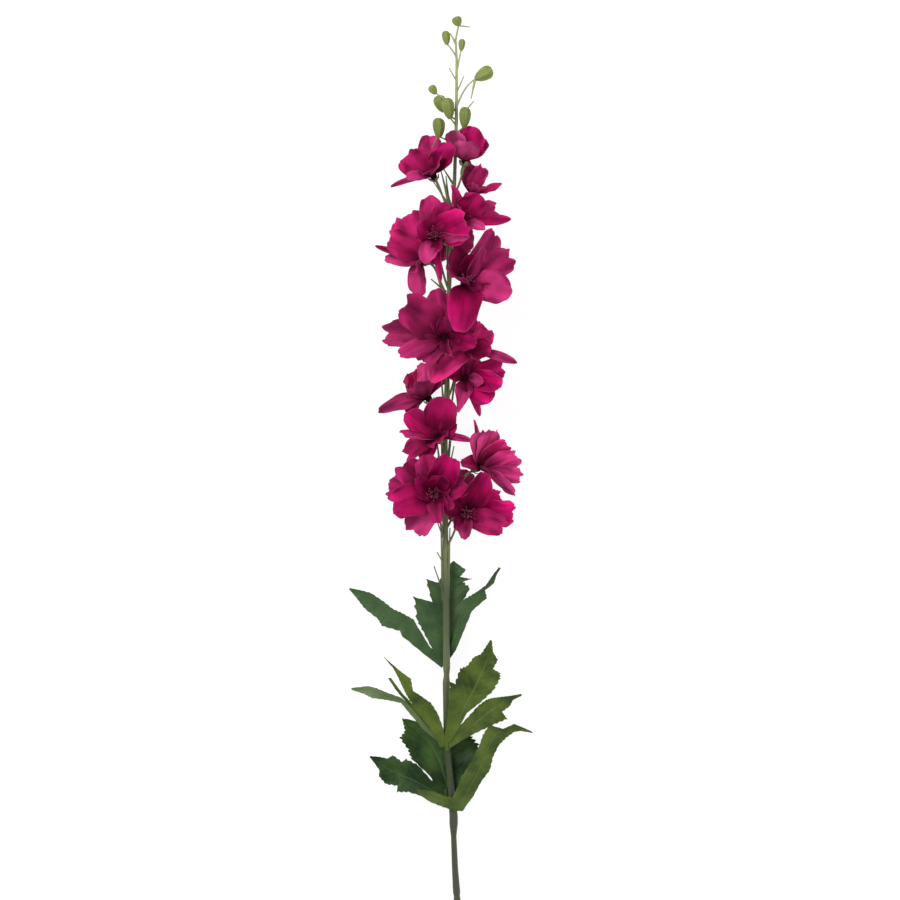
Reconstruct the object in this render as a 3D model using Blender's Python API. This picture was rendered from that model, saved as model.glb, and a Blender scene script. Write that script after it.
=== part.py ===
"""A cut delphinium flower spike, lying on a surface: one stem with its flower stalks and buds,
eighteen blooms of layered petals and three lobed leaves. Lengths are in millimetres in this
script and become metres when a mesh is made. +Y runs along the spike towards its tip, +X to the
right of the view from above, +Z up from the surface."""

import math
from collections import namedtuple

import bmesh
import bpy
from mathutils import Matrix, Vector
from mathutils.bvhtree import BVHTree

# Driving dimensions
SPIKE_LENGTH = 800.0
LEAN = 0.068  # rise of the stem for each millimetre along it
PETAL_THICK = 0.7
LEAF_THICK = 0.8
LEAST_THICK = 0.6  # where a blade lies on the surface
GAP = 0.3  # kept between touching pieces

# The view that places across the spike are given in: a square frame of 900 pixels, seen from above
TIP_ROW = 17.0
CUT_ROW = 912.0
FRAME_MIDDLE = 450.0
PIXEL = SPIKE_LENGTH / (CUT_ROW - TIP_ROW)
VIEW_DISTANCE = 2400.0
VIEW_PLANE = 35.0  # the height at which a pixel is PIXEL wide
ORIGIN = Vector((-8.5, -17.6, 0.0))  # middle of the spike's box, measured from the frame's middle

END_RADIUS = 3.1
METRE = 0.001


def place(x, y, height):
    """The point at this height that the view from above shows at pixel x, y."""
    shrink = 1.0 - (height - VIEW_PLANE) / VIEW_DISTANCE
    across = (x - FRAME_MIDDLE) * PIXEL * shrink
    along = (FRAME_MIDDLE - y) * PIXEL * shrink
    return Vector((across, along, height)) - ORIGIN


def stem_height(y):
    """Height of the stem's middle line where the view shows row y."""
    return END_RADIUS + (CUT_ROW - y) * PIXEL * LEAN


# Meshes


def new_object(name, vertices, faces):
    """An object with this mesh, made of triangles and quads given in millimetres."""
    mesh = bpy.data.meshes.new(name)
    mesh.from_pydata([v * METRE for v in vertices], [], faces)
    mesh.update()
    piece = bpy.data.objects.new(name, mesh)
    bpy.context.scene.collection.objects.link(piece)
    return piece


def across_from(direction):
    """Two unit vectors across a direction, alike for alike directions."""
    side = direction.cross(Vector((0.0, 0.0, 1.0)))
    if side.length < 0.05:
        side = direction.cross(Vector((0.0, 1.0, 0.0)))
    side.normalize()
    return side, side.cross(direction).normalized()


def tube(points, radii, sides):
    """A closed round rod along points, with a radius at each."""
    side, over = across_from((points[1] - points[0]).normalized())
    vertices = []
    for index, point in enumerate(points):
        before = points[max(index - 1, 0)]
        after = points[min(index + 1, len(points) - 1)]
        along = (after - before).normalized()
        side = (side - along * side.dot(along)).normalized()
        over = along.cross(side)
        for step in range(sides):
            turn = math.tau * step / sides
            out = side * math.cos(turn) + over * math.sin(turn)
            vertices.append(point + out * radii[index])
    faces = []
    for row in range(len(points) - 1):
        for step in range(sides):
            a = row * sides + step
            b = row * sides + (step + 1) % sides
            faces.append((a, b, b + sides, a + sides))
    last = (len(points) - 1) * sides
    faces.append(tuple(range(sides - 1, -1, -1)))
    faces.append(tuple(range(last, last + sides)))
    return vertices, faces


def bezier(a, b, c, d, t):
    """Point on a cubic curve."""
    s = 1.0 - t
    return a * s**3 + b * 3 * s * s * t + c * 3 * s * t * t + d * t**3


def bezier_way(a, b, c, d, t):
    """Direction of a cubic curve."""
    s = 1.0 - t
    way = (b - a) * s * s + (c - b) * 2 * s * t + (d - c) * t * t
    return way.normalized()


def row_normals(rows):
    """Unit normals of rows of points, from the neighbours of each. Rows may differ in length."""
    normals = []
    for i, row in enumerate(rows):
        line = []
        for j in range(len(row)):
            share = j / (len(row) - 1)
            before = rows[max(i - 1, 0)]
            after = rows[min(i + 1, len(rows) - 1)]
            down = after[round(share * (len(after) - 1))] - before[round(share * (len(before) - 1))]
            over = row[min(j + 1, len(row) - 1)] - row[max(j - 1, 0)]
            line.append(over.cross(down).normalized())
        normals.append(line)
    return normals


def strip(first, second, start_first, start_second):
    """Triangles between two rows of points that may differ in number."""
    faces = []
    i = j = 0
    while i < first - 1 or j < second - 1:
        step_first = (i + 1) / max(first - 1, 1) if i < first - 1 else 2.0
        step_second = (j + 1) / max(second - 1, 1) if j < second - 1 else 2.0
        a = start_first + i
        b = start_second + j
        if step_first < step_second:
            faces.append((a, a + 1, b))
            i += 1
        else:
            faces.append((a, b + 1, b))
            j += 1
    return faces


def blade(rows, thick):
    """A closed blade round rows of points. Its faces are triangles, split alike on both sides,
    and it lies on the surface where it would reach below it."""
    normals = row_normals(rows)
    front, back, starts = [], [], []
    for row, ups in zip(rows, normals):
        starts.append(len(front))
        for point, up in zip(row, ups):
            ends = [point + up * (thick / 2), point - up * (thick / 2)]
            low = 0 if ends[0].z < ends[1].z else 1
            if ends[low].z < 0.0:
                ends[low].z = 0.0
                ends[1 - low].z = max(ends[1 - low].z, LEAST_THICK)
            front.append(ends[0])
            back.append(ends[1])
    count = len(front)
    faces = []
    for i in range(len(rows) - 1):
        for one in strip(len(rows[i]), len(rows[i + 1]), starts[i], starts[i + 1]):
            faces.append(one)
            faces.append(tuple(count + k for k in reversed(one)))
    rim = list(range(len(rows[0])))
    rim += [starts[i] + len(rows[i]) - 1 for i in range(1, len(rows) - 1)]
    rim += [starts[-1] + j for j in range(len(rows[-1]) - 1, -1, -1)]
    rim += [starts[i] for i in range(len(rows) - 2, 0, -1)]
    for one, two in zip(rim, rim[1:] + rim[:1]):
        faces.append((two, one, count + one))
        faces.append((two, count + one, count + two))
    return front + back, faces


def fuse(name, solids):
    """One closed body from solids that cross, by one union. The first is the body that the
    others grow from. Loose scraps and sealed hollows go."""
    body = new_object(name, *solids[0])
    group = bpy.data.collections.new(name + "_repeats")
    bpy.context.scene.collection.children.link(group)
    for number, solid in enumerate(solids[1:]):
        piece = new_object(f"{name}_{number}", *solid)
        bpy.context.scene.collection.objects.unlink(piece)
        group.objects.link(piece)
    union = body.modifiers.new("union", "BOOLEAN")
    union.operation = "UNION"
    union.operand_type = "COLLECTION"
    union.collection = group
    for solver in ("EXACT", "MANIFOLD"):
        union.solver = solver
        bpy.context.view_layer.update()
        graph = bpy.context.evaluated_depsgraph_get()
        mesh = bpy.data.meshes.new_from_object(body.evaluated_get(graph))
        keep_largest(mesh)
        if is_closed(mesh):
            break
    body.modifiers.clear()
    body.data = mesh
    for piece in list(group.objects):
        bpy.data.objects.remove(piece)
    bpy.data.collections.remove(group)
    return body


def is_closed(mesh):
    """Whether each edge of a mesh has two faces."""
    shape = bmesh.new()
    shape.from_mesh(mesh)
    closed = all(len(edge.link_faces) == 2 for edge in shape.edges)
    shape.free()
    return closed


def keep_largest(mesh):
    """Leaves only the largest connected part of a mesh."""
    shape = bmesh.new()
    shape.from_mesh(mesh)
    seen = set()
    parts = []
    for start in shape.verts:
        if start in seen:
            continue
        part = [start]
        seen.add(start)
        for vertex in part:
            for edge in vertex.link_edges:
                other = edge.other_vert(vertex)
                if other not in seen:
                    seen.add(other)
                    part.append(other)
        parts.append(part)
    parts.sort(key=len)
    for part in parts[:-1]:
        bmesh.ops.delete(shape, geom=part, context="VERTS")
    shape.to_mesh(mesh)
    shape.free()


def finish(piece, colour, roughness):
    """Gives a node its material and smooth shading."""
    material = bpy.data.materials.new(piece.name)
    material.use_nodes = True
    shader = material.node_tree.nodes["Principled BSDF"]
    shader.inputs["Base Color"].default_value = (*colour, 1.0)
    shader.inputs["Roughness"].default_value = roughness
    shader.inputs["Metallic"].default_value = 0.0
    piece.data.materials.clear()
    piece.data.materials.append(material)
    piece.data.shade_smooth()
    piece.data.set_sharp_from_angle(angle=math.radians(50))


# Blooms


Petal = namedtuple("Petal", "tip rise width shape roll show", defaults=("fan", 0.0, 0.6))
Bloom = namedtuple("Bloom", "name seat lift axis root size petals open", defaults=(75.0,))

# How far each shape's end falls back at its edges, its dip in the middle, and its reach past the tip
END_FALL = {"fan": 0.24, "round": 0.3, "point": 0.46, "strip": 0.0, "plain": 0.24}
END_DIP = {"fan": 0.09, "round": 0.0, "point": 0.0, "strip": 0.0, "plain": 0.0}
END_REACH = {"fan": 1.06, "round": 1.02, "point": 1.0, "strip": 1.0, "plain": 1.0}

CORE_RINGS = ((0.0, 2.0), (1.4, 3.0), (4.2, 3.4), (6.4, 2.0))  # along the axis, radius
CORE_SIDES = 6
CLAW_AT = 1.9  # where petals leave the core, along its axis
CLAW_HALF = 1.1  # half the width of a petal's claw
PETAL_ROWS = (0.0, 0.15, 0.6, 1.0)  # shares of a petal's length
OUTER_ROWS = (0.55, 0.78, 1.0)  # past these, petals of one bloom stay clear of each other
# Points across each row, for each shape
PETAL_COLUMNS = {
    "fan": (2, 2, 5, 5),
    "round": (2, 2, 5, 5),
    "point": (2, 2, 5, 3),
    "strip": (2, 2, 3, 2),
    "plain": (2, 2, 3, 3),
}
CLAW_STEP = 0.33  # each next petal of a bloom leaves its core this much further along
BEND_STEPS = (0, 1, -1, 2, -2, 3, -3, 4, -4, 5, -5, 6, -6, 7, -7)
BEND_STEP = 3.0  # each step lifts a petal's tip by this much
SHORTER = (1.0, 0.86, 0.72)


def petal_half(width, v):
    """Half of a petal's width at v, from 0 at its claw to 1 at its end."""
    rise = math.sin(math.pi / 2 * min(1.0, max(0.0, v - 0.12) / 0.48))
    fall = max(0.0, v - 0.6) / 0.4
    return CLAW_HALF + (width / 2 - CLAW_HALF) * rise * (1.0 - 0.24 * fall * fall)


def petal_end(shape, u):
    """How far a petal reaches at u, from -1 at its left edge to 1 at its right."""
    fall = END_FALL[shape] * abs(u) ** (1.2 if shape in ("point", "strip") else 2.2)
    dip = END_DIP[shape] * max(0.0, 1.0 - (u / 0.5) ** 2)
    return (1.0 - fall - dip) * END_REACH[shape]


def turn_to_view(side, way):
    """Angle that turns a blade's width, round its own length, level with the surface."""
    level = way.cross(Vector((0.0, 0.0, 1.0)))
    if level.length < 0.05:
        return 0.0
    level.normalize()
    if level.dot(side) < 0.0:
        level = -level
    return math.atan2(side.cross(level).dot(way), side.dot(level))


def petal_grid(bloom, petal, number, bend=0.0, share=1.0, outer=False):
    """Points of a petal's middle surface, from its claw in the core to its end, or of its
    outer part only."""
    seat = place(*bloom.seat, stem_height(bloom.seat[1]) + bloom.lift)
    axis = Vector(bloom.axis).normalized()
    claw = seat + axis * (CLAW_AT + CLAW_STEP * number)
    tip = place(*petal.tip, seat.z + petal.rise + bend)
    reach = (tip - claw) * share
    out = reach - axis * reach.dot(axis)
    out.normalize()
    start = claw + out * 0.8
    tip = claw + reach
    length = reach.length
    first = start + (axis * 0.5 + out * 0.6) * (length * 0.34)
    second = tip.lerp(first, 0.45) + axis * (length * 0.05)
    side = axis.cross(out)
    shown = math.radians(petal.roll + 9.0) + petal.show * turn_to_view(side, reach.normalized())
    wave = math.sin(number * 2.4 + bloom.size)
    grid = []
    counts = PETAL_COLUMNS[petal.shape]
    for v, count in zip(OUTER_ROWS if outer else PETAL_ROWS, counts[1:] if outer else counts):
        count = max(count, 3) if outer else count
        line = []
        half = petal_half(petal.width, v)
        turn = shown * min(1.0, v * 1.4)
        for column in range(count):
            u = 2.0 * column / (count - 1) - 1.0
            s = v * petal_end(petal.shape, u)
            middle = bezier(start, first, second, tip, s)
            along = bezier_way(start, first, second, tip, s)
            up = axis * along.dot(out) - out * along.dot(axis)
            spin = Matrix.Rotation(turn, 3, along)
            over = spin @ side
            up = spin @ up
            cup = 0.2 * half * u * u
            ruffle = 0.16 * half * v * v * math.sin(math.pi * u + wave * 3)
            line.append(middle + over * (half * u) + up * (cup + ruffle))
        grid.append(line)
    return grid


def core(bloom):
    """The short body that a bloom's petals grow from, seated above its stalk's cup."""
    axis = Vector(bloom.axis).normalized()
    seat = place(*bloom.seat, stem_height(bloom.seat[1]) + bloom.lift)
    points = [seat + axis * (GAP + along) for along, radius in CORE_RINGS]
    radii = [radius for along, radius in CORE_RINGS]
    return tube(points, radii, CORE_SIDES)


def tree_of(solid):
    """A search tree of a solid's faces."""
    vertices, faces = solid
    return BVHTree.FromPolygons(vertices, faces)


def fits(grid, others):
    """Whether a petal with some room round it crosses none of the others."""
    test = tree_of(blade(grid, PETAL_THICK + 2 * GAP + 0.3))
    return not any(test.overlap(other) for other in others)


def place_petal(bloom, petal, number, neighbours, sisters):
    """The petal's points and those of its outer part, bent up or down until the petal is clear
    of other blooms and of the stem, and its outer part of the same bloom's petals, or None."""
    for share in SHORTER:
        for step in BEND_STEPS:
            bend = step * BEND_STEP
            outer = petal_grid(bloom, petal, number, bend, share, True)
            if not fits(outer, sisters):
                continue
            grid = petal_grid(bloom, petal, number, bend, share)
            if fits(grid[1:], neighbours):
                return grid, outer
    return None


BLOOMS = (
    # Top pair, half cupped
    Bloom("bloom_a", (435, 179), 6, (-0.45, 0.75, 0.45), 215, 30, (
        Petal((391, 187), 2, 8, "strip", 0, 0.8),
        Petal((404, 156), 2, 31, "fan"),
        Petal((429, 135), -4, 22, "round"),
        Petal((453, 144), 8, 20, "plain"),
        Petal((406, 177), 14, 14, "plain"),
        Petal((440, 148), 3, 16, "plain"),
    ), 45.0),
    Bloom("bloom_b", (464, 165), 7, (0.2, 0.9, 0.1), 196, 28, (
        Petal((452, 131), 6, 20, "round"),
        Petal((474, 127), -5, 25, "round"),
        Petal((467, 141), 11, 24, "plain"),
        Petal((485, 139), 1, 17, "round"),
    ), 40.0),
    Bloom("bloom_c", (470, 198), 2, (0.4, 0.8, 0.1), 232, 22, (
        Petal((469, 161), 5, 20, "round"),
        Petal((484, 166), 3, 19, "fan"),
        Petal((502, 184), 4, 11, "strip"),
    ), 45.0),
    # Second tier
    Bloom("bloom_d", (436, 241), 14, (-0.15, 0.4, 0.9), 290, 38, (
        Petal((467, 221), 10, 32, "fan"),
        Petal((447, 203), 4, 22, "round"),
        Petal((430, 196), -6, 22, "round"),
        Petal((419, 224), 10, 22, "round"),
        Petal((470, 237), 16, 11, "plain", 55),
        Petal((425, 263), 15, 18, "round"),
        Petal((441, 281), 10, 8, "strip"),
    )),
    Bloom("bloom_e", (427, 262), 2, (-0.75, 0.35, 0.5), 300, 36, (
        Petal((375, 246), 2, 8, "strip", 0, 0.8),
        Petal((405, 214), 8, 36, "fan"),
        Petal((388, 237), 6, 24, "fan"),
        Petal((384, 259), -4, 15, "plain"),
        Petal((420, 296), -2, 20, "round"),
    ), 50.0),
    Bloom("bloom_f", (458, 221), 6, (0.75, 0.4, 0.45), 262, 34, (
        Petal((511, 219), 0, 13, "strip", 0, 0.8),
        Petal((480, 195), 4, 26, "round"),
        Petal((451, 184), 8, 16, "point"),
        Petal((497, 209), -6, 22, "fan"),
        Petal((485, 229), 12, 12, "plain"),
    ), 55.0),
    # Third tier
    Bloom("bloom_h", (464, 288), 8, (0.3, 0.7, 0.6), 330, 38, (
        Petal((497, 233), -8, 22, "fan"),
        Petal((512, 255), -3, 27, "fan"),
        Petal((511, 294), 8, 30, "round"),
        Petal((455, 248), 8, 22, "round"),
        Petal((471, 254), 4, 18, "plain"),
        Petal((484, 245), 9, 12, "plain", 30),
        Petal((459, 332), 18, 30, "round"),
    ), 50.0),
    # Fourth tier
    Bloom("bloom_j", (445, 338), 16, (-0.1, 0.15, 0.95), 395, 42, (
        Petal((403, 303), 8, 34, "fan"),
        Petal((435, 290), 1, 24, "round"),
        Petal((476, 320), 6, 24, "round"),
        Petal((383, 334), -14, 27, "fan"),
        Petal((399, 356), 6, 17, "plain"),
        Petal((422, 363), 9, 20, "fan"),
        Petal((453, 358), 17, 8, "plain", 60),
        Petal((477, 344), 11, 18, "plain"),
    )),
    Bloom("bloom_k", (466, 351), 4, (0.55, 0.5, 0.5), 400, 34, (
        Petal((517, 363), 2, 12, "strip"),
        Petal((486, 326), 5, 28, "fan"),
        Petal((492, 347), 8, 18, "plain"),
        Petal((431, 381), 9, 17, "round"),
    ), 55.0),
    Bloom("bloom_l", (462, 377), 2, (0.5, -0.15, 0.8), 430, 34, (
        Petal((480, 416), -4, 9, "strip", 0, 0.9),
        Petal((504, 366), 4, 22, "fan"),
        Petal((493, 399), 8, 24, "round"),
        Petal((502, 383), 5, 20, "round"),
        Petal((458, 413), 10, 16, "point"),
        Petal((484, 382), 12, 12, "plain"),
    )),
    Bloom("bloom_m", (430, 402), 2, (-0.35, 0.75, 0.1), 445, 36, (
        Petal((379, 412), 2, 16, "round", 0, 0.9),
        Petal((406, 414), -3, 15, "plain"),
        Petal((411, 371), 3, 28, "fan"),
        Petal((446, 361), -4, 24, "round"),
        Petal((427, 361), 9, 26, "fan"),
    ), 45.0),
    # Fifth tier
    Bloom("bloom_n", (440, 441), 8, (-0.3, 0.6, 0.55), 492, 34, (
        Petal((472, 441), 4, 9, "strip", 0, 0.8),
        Petal((405, 456), -4, 20, "fan"),
        Petal((424, 461), 2, 17, "plain"),
        Petal((405, 414), 4, 24, "round"),
        Petal((442, 397), 6, 30, "round"),
        Petal((401, 434), 12, 18, "plain", 30),
        Petal((457, 424), 2, 16, "plain"),
    ), 55.0),
    Bloom("bloom_o", (435, 493), 16, (-0.1, -0.05, 0.98), 545, 44, (
        Petal((402, 463), 8, 29, "fan"),
        Petal((387, 487), 8, 26, "fan"),
        Petal((391, 506), 7, 30, "fan"),
        Petal((413, 533), 6, 28, "fan"),
        Petal((427, 455), 7, 26, "round"),
        Petal((452, 456), 9, 26, "fan"),
        Petal((467, 482), 12, 22, "fan"),
        Petal((438, 524), 10, 16, "plain"),
        Petal((415, 478), 16, 16, "plain"),
        Petal((442, 475), 15, 18, "plain"),
        Petal((454, 508), 12, 14, "plain"),
    )),
    Bloom("bloom_p", (464, 512), 8, (0.25, -0.1, 0.96), 548, 40, (
        Petal((515, 514), 6, 26, "fan"),
        Petal((505, 529), 4, 22, "fan"),
        Petal((464, 540), 10, 14, "plain"),
        Petal((455, 530), 6, 12, "plain"),
        Petal((484, 523), 8, 18, "fan"),
        Petal((502, 497), 6, 22, "fan"),
        Petal((487, 474), 12, 24, "round"),
    )),
    Bloom("bloom_q", (474, 470), 0, (0.75, 0.4, 0.15), 530, 42, (
        Petal((474, 420), 2, 7, "strip"),
        Petal((478, 431), 12, 22, "fan"),
        Petal((493, 429), 16, 24, "fan"),
        Petal((508, 443), 8, 20, "fan"),
        Petal((519, 456), -2, 25, "fan"),
        Petal((522, 479), 2, 20, "fan"),
        Petal((516, 496), 5, 16, "plain"),
        Petal((460, 463), 8, 16, "plain"),
    ), 50.0),
    # Behind the stem, facing the surface
    Bloom("bloom_r", (446, 240), -14, (-0.1, 0.1, -0.98), 290, 52, (), 42.0),
    Bloom("bloom_s", (447, 340), -12, (0.1, 0.1, -0.98), 395, 50, (), 48.0),
    Bloom("bloom_t", (448, 492), -10, (-0.05, 0.0, -1.0), 545, 48, (), 56.0),
)

RING = 5


def whole_ring(bloom):
    """The bloom's petals, with plain ones added where its ring of five has none."""
    axis = Vector(bloom.axis).normalized()
    side, over = across_from(axis)
    seat = place(*bloom.seat, stem_height(bloom.seat[1]) + bloom.lift)
    turns = []
    for petal in bloom.petals:
        reach = place(*petal.tip, seat.z + petal.rise) - seat
        turns.append(math.atan2(reach.dot(over), reach.dot(side)))
    petals = list(bloom.petals)
    first = turns[0] if turns else math.radians(20.0)
    for number in range(RING):
        turn = first + math.tau * number / RING
        apart = [abs(math.remainder(turn - other, math.tau)) for other in turns]
        if apart and min(apart) < math.radians(34):
            continue
        out = side * math.cos(turn) + over * math.sin(turn)
        way = out * math.sin(math.radians(bloom.open)) + axis * math.cos(math.radians(bloom.open))
        tip = seat + way * bloom.size * 0.84 + ORIGIN
        shrink = 1.0 - (tip.z - VIEW_PLANE) / VIEW_DISTANCE
        x = FRAME_MIDDLE + tip.x / (PIXEL * shrink)
        y = FRAME_MIDDLE - tip.y / (PIXEL * shrink)
        petals.append(Petal((x, y), tip.z - seat.z, bloom.size * 0.62, "plain", 0.0, 0.0))
    return petals


def make_bloom(bloom, neighbours):
    """A bloom as one node: its core and its petals, clear of what stands already."""
    body = core(bloom)
    solids = [body]
    sisters = []
    for number, petal in enumerate(whole_ring(bloom)):
        found = place_petal(bloom, petal, number, neighbours, sisters)
        if found is None:
            continue
        grid, outer = found
        sisters.append(tree_of(blade(outer, PETAL_THICK)))
        solids.append(blade(grid, PETAL_THICK))
    neighbours.extend(tree_of(solid) for solid in solids)
    node = fuse(bloom.name, solids)
    finish(node, (0.42, 0.012, 0.075), 0.75)
    return node


# Stem, with its stalks and buds


STEM_COURSE = (
    # column, row, radius
    (457.5, 912, 3.1),
    (457.0, 899, 3.1),
    (456.8, 896, 2.7),
    (456.5, 892, 3.3),
    (455.0, 870, 2.8),
    (453.6, 836, 2.5),
    (453.5, 824, 3.8),
    (453.5, 816, 3.8),
    (452.0, 800, 3.1),
    (447.0, 745, 3.0),
    (446.2, 682, 3.3),
    (446.5, 675, 2.5),
    (446.5, 668, 3.2),
    (446.0, 600, 3.0),
    (445.0, 520, 2.7),
    (445.0, 440, 2.4),
    (447.0, 380, 2.2),
    (449.0, 290, 1.9),
    (451.0, 250, 1.8),
    (454.5, 180, 1.6),
    (456.3, 120, 1.5),
    (456.6, 60, 1.1),
    (455.5, 40, 0.9),
    (458.0, 28, 0.8),
)


def stem_at(y):
    """Point of the stem's middle line where the view shows row y, and the radius there."""
    for (x0, y0, r0), (x1, y1, r1) in zip(STEM_COURSE, STEM_COURSE[1:]):
        if y0 >= y >= y1:
            share = (y0 - y) / (y0 - y1)
            return place(x0 + (x1 - x0) * share, y, stem_height(y)), r0 + (r1 - r0) * share
    x, y, radius = STEM_COURSE[-1]
    return place(x, y, stem_height(y)), radius


def stem_point(y):
    """Point of the stem's middle line where the view shows row y."""
    return stem_at(y)[0]


CUP_RADIUS = 2.4
CUP_LENGTH = 3.2
# Along a stalk, from its root to the narrow end of its cup, and the radius there
STALK = ((0.0, 1.2), (0.35, 0.95), (0.7, 0.9), (1.0, 1.1))
STALK_SIDES = 4


def stalk(bloom):
    """A flower stalk, from the stem to the cup under its bloom."""
    root = stem_point(bloom.root)
    axis = Vector(bloom.axis).normalized()
    seat = place(*bloom.seat, stem_height(bloom.seat[1]) + bloom.lift)
    span = (seat - root).length
    along = (stem_point(bloom.root - 20) - root).normalized()
    away = seat - root
    away -= along * away.dot(along)
    first = root + along * (span * 0.3) + away * 0.55
    neck = seat - axis * CUP_LENGTH
    second = neck - axis * (span * 0.3)
    points = [bezier(root, first, second, neck, share) for share, radius in STALK]
    radii = [radius for share, radius in STALK]
    return tube(points + [seat], radii + [CUP_RADIUS], STALK_SIDES)


Bud = namedtuple("Bud", "root way base tip lift radius")

# root: row on the stem; way: pixel that the stalk bends through; base, tip: ends of the bud
BUDS = (
    Bud(30, (458, 28), (459, 26), (455, 17), 0.0, 4.6),
    Bud(58, (453, 50), (447, 45), (445, 31), 2.0, 3.9),
    Bud(72, (459, 60), (461, 51), (462, 39), -1.0, 3.2),
    Bud(108, (464, 86), (475, 79), (492, 69), 3.0, 6.3),
    Bud(112, (442, 96), (436, 94), (430, 86), -2.0, 3.9),
    Bud(120, (450, 116), (444, 112), (437, 96), -6.0, 6.0),
    Bud(126, (453, 121), (450, 119), (446, 98), 6.0, 5.9),
    Bud(133, (459, 131), (464, 128), (465, 107), 2.0, 5.5),
    Bud(146, (448, 140), (439, 138), (438, 118), 3.0, 5.8),
)
BUD_SHAPE = ((0.0, 0.4), (0.2, 0.92), (0.62, 0.9), (0.92, 0.36))


def bud_solid(bud):
    """A bud with its own thin stalk, from the stem to the bud's tip."""
    height = stem_height(bud.base[1]) + bud.lift
    root = stem_point(bud.root)
    way = place(*bud.way, (root.z + height) / 2 + bud.lift * 0.3)
    base = place(*bud.base, height)
    tip = place(*bud.tip, height + 0.5)
    points = [root, way.lerp(root, 0.3), way.lerp(base, 0.25)]
    radii = [1.2, 0.9, 0.8]
    for share, wide in BUD_SHAPE:
        points.append(base.lerp(tip, share))
        radii.append(max(0.6, bud.radius * wide))
    return tube(points, radii, 6)


# Spurs and thin bracts: pixels of root and end, lift of each over the stem's line, radius at root
SPRIGS = (
    ((460, 26), (470, 27), 0.0, 0.0, 0.9),
    ((475, 80), (471, 99), 3.0, 5.0, 1.2),
    ((466, 110), (474, 101), 3.0, 5.0, 0.8),
    ((438, 136), (432, 148), 3.0, 7.0, 0.9),
    ((457, 82), (449, 68), 0.0, 3.0, 0.7),
    ((457, 92), (464, 76), 0.0, 3.0, 0.7),
    ((456, 44), (450, 33), 0.0, 2.0, 1.2),
    ((453, 184), (443, 168), 0.0, 5.0, 1.1),
    ((452, 210), (433, 181), 0.0, 5.0, 1.1),
    ((450, 206), (441, 171), 0.0, 8.0, 1.9),
    ((446, 292), (431, 279), 0.0, 3.0, 1.2),
    ((442, 448), (457, 414), 0.0, 4.0, 1.2),
    ((446, 480), (451, 440), 0.0, 3.0, 1.9),
    ((448, 598), (450, 528), 0.0, 3.0, 1.6),
    ((443, 600), (441, 530), 0.0, 2.0, 1.5),
    ((445, 598), (434, 566), 0.0, 6.0, 0.8),
    ((445, 566), (437, 552), 0.0, 5.0, 0.7),
    ((445, 542), (438, 524), 0.0, 8.0, 0.8),
)


def sprig(root, end, root_lift, end_lift, radius):
    """A thin tapered spur or bract."""
    start = place(*root, stem_height(root[1]) + root_lift)
    stop = place(*end, stem_height(end[1]) + end_lift)
    middle = start.lerp(stop, 0.5) + Vector((0.0, 0.0, 0.8))
    return tube([start, middle, stop], [radius, radius * 0.8, 0.4], 4)


def make_stem():
    """The stem, its stalks with their cups, its buds and its bracts, as one node."""
    points = [place(x, y, stem_height(y)) for x, y, radius in STEM_COURSE]
    radii = [radius for x, y, radius in STEM_COURSE]
    solids = [tube(points, radii, 8)]
    solids += [stalk(bloom) for bloom in BLOOMS]
    solids += [bud_solid(bud) for bud in BUDS]
    solids += [sprig(*spec) for spec in SPRIGS]
    node = fuse("stem", solids)
    finish(node, (0.11, 0.15, 0.06), 0.6)
    return node


# Leaves


Lobe = namedtuple("Lobe", "low high arch rows")
Leaf = namedtuple("Leaf", "name colour lobes knuckle")

LEAF_FOLD = 0.16  # how much a lobe's edges stand over its rib, for each millimetre from it

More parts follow.
